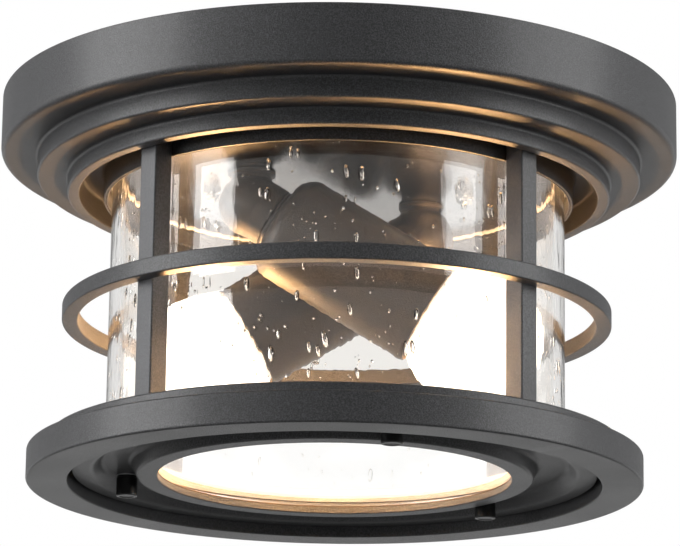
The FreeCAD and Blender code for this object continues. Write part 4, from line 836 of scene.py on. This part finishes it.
def hexagon_nut(flats, low, high, bore=None, chamfer=0.5):
    """A hexagonal nut: radius is half the flats over the cosine of the angle from the
    nearest flat, held under a chamfer circle near the two faces."""
    rows = np.array([low, low, low + chamfer, high - chamfer, high, high])
    limit = flats / 2 + np.array([-0.4, 0.1, 0.9, 0.9, 0.1, -0.4])
    angle = np.arange(72) * 2 * math.pi / 72
    near = (angle + math.pi / 6) % (math.pi / 3) - math.pi / 6
    hexed = flats / 2 / np.cos(near)
    radius = np.minimum(hexed[None, :], limit[:, None])
    if bore is not None:
        rows = np.append(rows, [high, high - 0.4, low + 0.4, low])
        inner = np.array([bore + 0.4, bore, bore, bore + 0.4])
        radius = np.vstack([radius, np.repeat(inner[:, None], len(angle), 1)])
    z = np.repeat(rows[:, None], len(angle), 1)
    grid = np.stack([radius * np.cos(angle), radius * np.sin(angle), z], -1)
    solid = bore is None
    return capped(grid, close_rows=not solid, low_cap=solid, high_cap=solid)


def flipped(surface):
    """A surface turned upside down, by half a turn about the X axis."""
    return moved(surface, turn=np.diag([1.0, -1.0, -1.0]))


def ring_of(surface, radius, angles, height=0.0):
    """Copies of a surface at the given angles on a circle."""
    return joined(*[moved(moved(surface, (radius, 0, height)), turn=about_z(a)) for a in angles])


print("hexagon has", len(hexagon_nut(7, 0, 3)[0]), "points")

# %% Studs, nuts and screws
STUD_X = 52.0
QUARTERS = (45, 135, 225, 315)
studs = ring_of(threaded_rod(SCREW_R, -39.5, 0), STUD_X, (0, 180))
piece("threaded_studs", studs, ZINC, "fixture", "mounting_studs")
nuts = ring_of(hexagon_nut(7, -5.2, -2, 2.0), STUD_X, (0, 180))
piece("stud_lock_nuts", nuts, ZINC, "fixture", "lock_nuts")
dome_arc = np.radians(np.linspace(0, 90, 12))
ACORN_LOW, DOME_R = PLATE_LOW - 3, 3.2
dome = np.stack([np.cos(dome_arc), -np.sin(dome_arc)], -1)[::-1] * DOME_R + (0, ACORN_LOW)
dome[0, 0] = 0
dome = np.vstack([dome, [(0, ACORN_LOW + 0.3)]])
acorn = joined(hexagon_nut(7, ACORN_LOW, PLATE_LOW), lathe(dome, 48, closed=False))
piece("acorn_nuts", ring_of(acorn, STUD_X, (0, 180)), NICKEL, "fixture", "cap_nuts")

PAN_LOW = RECESS_TOP + WALL
pan = joined(moved(cross_head(3.8, 2.55), (0, 0, PAN_LOW)),
             threaded_rod(SCREW_R, -42, PAN_LOW + 0.1))
piece("upper_post_screws", ring_of(pan, POST_CIRCLE, QUARTERS), ZINC, "fixture",
      "post_screws_top")
sunk = flipped(cross_head(3.75, 0.02, cone_depth=1.85))
sunk = joined(moved(sunk, (0, 0, SEAM + 0.08)), threaded_rod(SCREW_R, SEAM + 1, -130.5))
piece("lower_post_screws", ring_of(sunk, POST_CIRCLE, QUARTERS), BLACK_STEEL, "fixture",
      "post_screws_bottom")
flush = joined(moved(cross_head(3.75, 0.02, cone_depth=1.85), (0, 0, BASE_TOP - 0.04)),
               threaded_rod(SCREW_R, -154.5, BASE_TOP - 1.1))
piece("flush_band_screws", ring_of(flush, 112.2, (0, 90, 180, 270)), BLACK_STEEL, "fixture",
      "band_screws")
earth = joined(flipped(cross_head(3.4, 2.15)), threaded_rod(1.7, 0, 2, 0.6))
piece("earth_terminal_screw", moved(earth, (20, 0, -2)), BRASS, "fixture", "earth_screw")

# %% Nipples and their nuts
nipple = np.vstack([[(3.4, -43.5), (4.6, -43.5)],
                    np.stack([np.full(80, 5.0), np.linspace(-43.0, -28.0, 80)], -1),
                    [(4.6, -27.5), (3.4, -27.5)]])
thread = triangle_thread(1.0, 0.45, -43.2, -27.8)
tube = lathe(nipple, 48, wobble=lambda r, z, a: np.where(r > 4.9, thread(r, z, a), r))
for side, way in SIDES.items():
    place = on_side((ELBOW[0], ELBOW[1], 0), way)
    piece("threaded_nipple_" + side, moved(tube, place), ZINC, "fixture", "nipple_" + side)
    big = moved(hexagon_nut(13, -32, -28.5, 5.0, 0.7), place)
    piece("nipple_lock_nut_" + side, big, ZINC, "fixture", "nipple_nut_" + side)

# %% [markdown]
# ## Thumb screws
# Three plain black knobs hold the door. Each is a short turned cylinder with a soft edge
# and a shallow dish in its face, on a threaded shank, over a thin washer.

# %% Thumb screws and washers
KNOB_R, FACE, DISC_R = 4.35, BAND_LOW + 0.1, 4.3
KNOB_CIRCLE, FIRST_KNOB = 88.5, 44.2
knob = rounded([(0, FACE + 0.3, 0), (2.6, FACE + 0.25, 0.6), (3.3, FACE, 0.3),
                (KNOB_R, FACE, 0.45), (KNOB_R, KNOB_TOP - 1, 0.3), (4.05, KNOB_TOP - 0.7, 0.15),
                (4.05, KNOB_TOP, 0.2), (0, KNOB_TOP, 0)], closed=False)
disc = rounded([(2.1, KNOB_TOP, 0.1), (DISC_R, KNOB_TOP, 0.15), (DISC_R, CHANNEL, 0.15),
                (2.1, CHANNEL, 0.1)])
screw = joined(lathe(knob, 64, closed=False), threaded_rod(SCREW_R, KNOB_TOP - 0.2, -143.5))
for number in range(3):
    angle = math.radians(FIRST_KNOB + 120 * number)
    spot = (KNOB_CIRCLE * math.cos(angle), KNOB_CIRCLE * math.sin(angle), 0)
    tag = str(number + 1)
    piece("black_knob_" + tag, moved(screw, spot), KNOB_BLACK, "screw_" + tag,
          "thumb_screw_" + tag)
    piece("knob_washer_" + tag, moved(lathe(disc, 64), spot), ZINC, "washer_" + tag,
          "thumb_washer_" + tag)

# %% [markdown]
# ## Wiring above the canopy floor
# Two white leads come up through the nipples and drop into the terminal block; a green
# lead joins the crossbar's earth screw to it. Each is a round section carried along a
# smooth path that is worked out from a few route points.

# %% Leads
def tube_along(route, radius, cols=14, rows=70):
    """A round tube along a smooth path. The path mixes each run's ends by a cubic whose
    slopes are half the difference of the neighbours, so it passes every spot. The ring at
    each row stands across the path: one arm is across the path and a fixed direction,
    the other across both."""
    p = np.asarray(route, float)
    p = np.vstack([2 * p[0] - p[1], p, 2 * p[-1] - p[-2]])
    spans = len(p) - 3
    t = np.linspace(0, spans - 1e-6, rows)
    i = t.astype(int)
    u = (t - i)[:, None]
    a, b, c, d = p[i], p[i + 1], p[i + 2], p[i + 3]
    path = 0.5 * (2 * b + (c - a) * u + (2 * a - 5 * b + 4 * c - d) * u ** 2
                  + (3 * b - a - 3 * c + d) * u ** 3)
    along = np.gradient(path, axis=0)
    along /= np.linalg.norm(along, axis=1, keepdims=True)
    first = np.cross(along, (0.37, 0.93, 0.05))
    first /= np.linalg.norm(first, axis=1, keepdims=True)
    second = np.cross(along, first)
    ring = np.arange(cols) * 2 * math.pi / cols
    grid = path[:, None] + radius * (np.cos(ring)[None, :, None] * first[:, None]
                                     + np.sin(ring)[None, :, None] * second[:, None])
    return capped(grid, low_cap=True, high_cap=True)


for side, way in SIDES.items():
    x, y, z = on_side(ELBOW, way)
    pocket, inside = (on_side(MOUTH - back * AXIS, way) for back in (60, 74))
    route = [pocket, inside, (x, y, z + 1.5), (x, y, -38), (x, y, -20), (x, y, -14),
             (x * 0.86, y * 0.8, -9.4)]
    route += [on_side(spot, -way) for spot in ((18, 9, -9.0), (12.6, 4.6, -11), (12, 4, -18))]
    piece("lamp_lead_" + side, tube_along(route, 1.25), LEAD_COVER, "fixture", "lead_" + side)
route = [(20, 0, -4.3), (20, 0, -7.4), (17.8, 0, -8.9), (2.2, 0, -9.0), (0, 0, -11), (0, 0, -18)]
piece("green_earth_lead", tube_along(route, 0.95), EARTH_COVER, "fixture", "earth_lead")

# %% [markdown]
# ## Terminal block
# A nylon block with two rows of wells on its top. Each well is a short tube with the
# head of a brass clamping screw at its bottom, cross-slotted as the larger screws are.

# %% Terminal block
housing = column(oblong(17, 8, 1.2), rounded_levels(-32, -19.2, 0.8, 3))
well = lathe(rounded([(1.9, -20, 0.2), (2.9, -20, 0.2), (2.7, -18, 0.3), (1.9, -18, 0.2)]), 28)
WELLS = [(x, y, 0) for x in (-12, 0, 12) for y in (-4, 4)]
wells = [moved(well, spot) for spot in WELLS]
piece("nylon_block", joined(housing, *wells), NYLON, "fixture", "terminal_block")
head = moved(cross_head(1.7, 0.45), (0, 0, -19.3))
heads = [moved(head, spot) for spot in WELLS]
piece("terminal_screws", joined(*heads), BRASS, "fixture", slot=SLOTS["earth_screw"])

# %% [markdown]
# ## CAD parts that keep their own shape
# The crossbar with its slots and the window's snap ring are right as they are, so they
# only get their finish.

# %% Finish the CAD parts that stay
for name, finish in (("crossbar", ZINC), ("window_clip", ZINC)):
    part = frame["nodes"][name]
    part.data.materials.clear()
    part.data.materials.append(finish)
    print(name, "wears", finish.name)

# %% [markdown]
# ## Room, light and camera
# The lantern hangs over a pale floor in front of a white backdrop. Two soft boxes at the
# sides draw the light streaks down the canopy and the posts, while the camera's side
# stays dim, which keeps the front of the coat dark. In reflections the floor is dim near
# the lantern and white further off, so steep undersides go dark and flat ones gleam.

# %% Floor
FLOOR_Z = -3.4
FLOOR_HALF = 20
SEEN_GLOW = 0.62
floor_mesh = bpy.data.meshes.new("floor")
floor_mesh.from_pydata([(x * FLOOR_HALF, y * FLOOR_HALF, FLOOR_Z)
                        for x, y in ((-1, -1), (1, -1), (1, 1), (-1, 1))], [], [(0, 1, 2, 3)])
floor = bpy.data.objects.new("floor", floor_mesh)
bpy.context.collection.objects.link(floor)
finish, tree, shader, place = new_finish("pale_floor")
shader.inputs["Base Color"].default_value = (0.86, 0.86, 0.85, 1)
shader.inputs["Roughness"].default_value = 0.8
path = tree.nodes.new("ShaderNodeLightPath")
mirrored = ramp(tree, vector_step(tree, "LENGTH", place), 12.9, 14.3, 0.13, 1.0)
glow = number_step(tree, "MULTIPLY", path.outputs["Is Glossy Ray"], mirrored)
for ray in ("Is Camera Ray", "Is Transmission Ray"):
    seen = number_step(tree, "MULTIPLY", path.outputs[ray], SEEN_GLOW)
    glow = number_step(tree, "MAXIMUM", glow, seen)
shown = tree.nodes.new("ShaderNodeEmission")
tree.links.new(glow, shown.inputs["Strength"])
both = tree.nodes.new("ShaderNodeAddShader")
tree.links.new(shader.outputs[0], both.inputs[0])
tree.links.new(shown.outputs[0], both.inputs[1])
floor_out = next(n for n in tree.nodes if n.type == "OUTPUT_MATERIAL")
tree.links.new(both.outputs[0], floor_out.inputs["Surface"])
floor_mesh.materials.append(finish)
print("floor at", FLOOR_Z, "m")

# %% World
world = bpy.data.worlds.new("studio")
world.use_nodes = True
bpy.context.scene.world = world
sky = world.node_tree
background = next(n for n in sky.nodes if n.type == "BACKGROUND")
background.inputs["Color"].default_value = (1, 1, 1, 1)
path = sky.nodes.new("ShaderNodeLightPath")
direct = number_step(sky, "MAXIMUM", path.outputs["Is Camera Ray"],
                     path.outputs["Is Transmission Ray"])
direction = sky.nodes.new("ShaderNodeTexCoord").outputs["Generated"]
split = sky.nodes.new("ShaderNodeSeparateXYZ")
sky.links.new(direction, split.inputs[0])
upper = ramp(sky, split.outputs["Z"], -0.15, 0.20, 1.0, 0.35)
near = ramp(sky, split.outputs["Y"], -0.7, 0.1, 0.08, 1.0)
mirror = number_step(sky, "MULTIPLY", upper, near)


def pick(test, otherwise, then):
    """A number node: then where the test is one, otherwise where it is nought."""
    choice = sky.nodes.new("ShaderNodeMix")
    choice.data_type = "FLOAT"
    sky.links.new(test, choice.inputs[0])
    for socket, value in ((choice.inputs[2], otherwise), (choice.inputs[3], then)):
        if isinstance(value, float):
            socket.default_value = value
        else:
            sky.links.new(value, socket)
    return choice.outputs[0]


level = pick(path.outputs["Is Glossy Ray"], 0.08, mirror)
sky.links.new(pick(direct, level, 1.0), background.inputs["Strength"])
print("world ready")

# %% Soft boxes
LANTERN_MIDDLE = Vector((0, 0, -0.08))


def soft_box(name, place, size, power):
    """An area light that faces the middle of the lantern."""
    box = bpy.data.lights.new(name, "AREA")
    box.shape = "RECTANGLE"
    box.size, box.size_y = size
    box.energy = power
    thing = bpy.data.objects.new(name, box)
    thing.location = place
    aim = LANTERN_MIDDLE - thing.location
    thing.rotation_euler = aim.to_track_quat("-Z", "Y").to_euler()
    bpy.context.collection.objects.link(thing)
    print(name, power, "W")


soft_box("soft_box_left", (-1.5, -0.5, 0.3), (1.1, 1.2), 28)
soft_box("soft_box_right", (1.5, -0.45, 0.3), (1.1, 1.2), 20)
soft_box("soft_box_top", (0.2, 0.4, 1.7), (1.2, 1.2), 11)
for side, way in SIDES.items():
    inner = bpy.data.lights.new("light_in_globe_" + side, "POINT")
    inner.energy = 0.95
    inner.color = (1.0, 0.55, 0.22)
    inner.shadow_soft_size = 0.008
    thing = bpy.data.objects.new("light_in_globe_" + side, inner)
    middle = on_side(GLOBE_MIDDLE, way)
    thing.location = tuple(middle * MM)
    thing.visible_camera = False
    thing.visible_transmission = False
    bpy.context.collection.objects.link(thing)
    print(thing.name, np.round(middle, 1))

# %% Camera
CAMERA_AT = (0, -1.4715, -0.4554)
view = bpy.data.cameras.new("camera")
view.sensor_width = 36
view.lens = 196.47
camera = bpy.data.objects.new("camera", view)
pitch, yaw, roll = (math.radians(degrees) for degrees in (14.667, 0.042, 0.777))
ahead = Vector((math.sin(yaw) * math.cos(pitch), math.cos(yaw) * math.cos(pitch),
                math.sin(pitch)))
level_right = Vector((math.cos(yaw), -math.sin(yaw), 0))
upward = level_right.cross(ahead)
right = math.cos(roll) * level_right + math.sin(roll) * upward
up = -math.sin(roll) * level_right + math.cos(roll) * upward
facing = Matrix((right, up, -ahead)).transposed()
camera.matrix_world = Matrix.Translation(CAMERA_AT) @ facing.to_4x4()
bpy.context.collection.objects.link(camera)
bpy.context.scene.camera = camera
bpy.context.scene.view_settings.view_transform = "Standard"
print("camera at", tuple(round(v, 3) for v in camera.location))
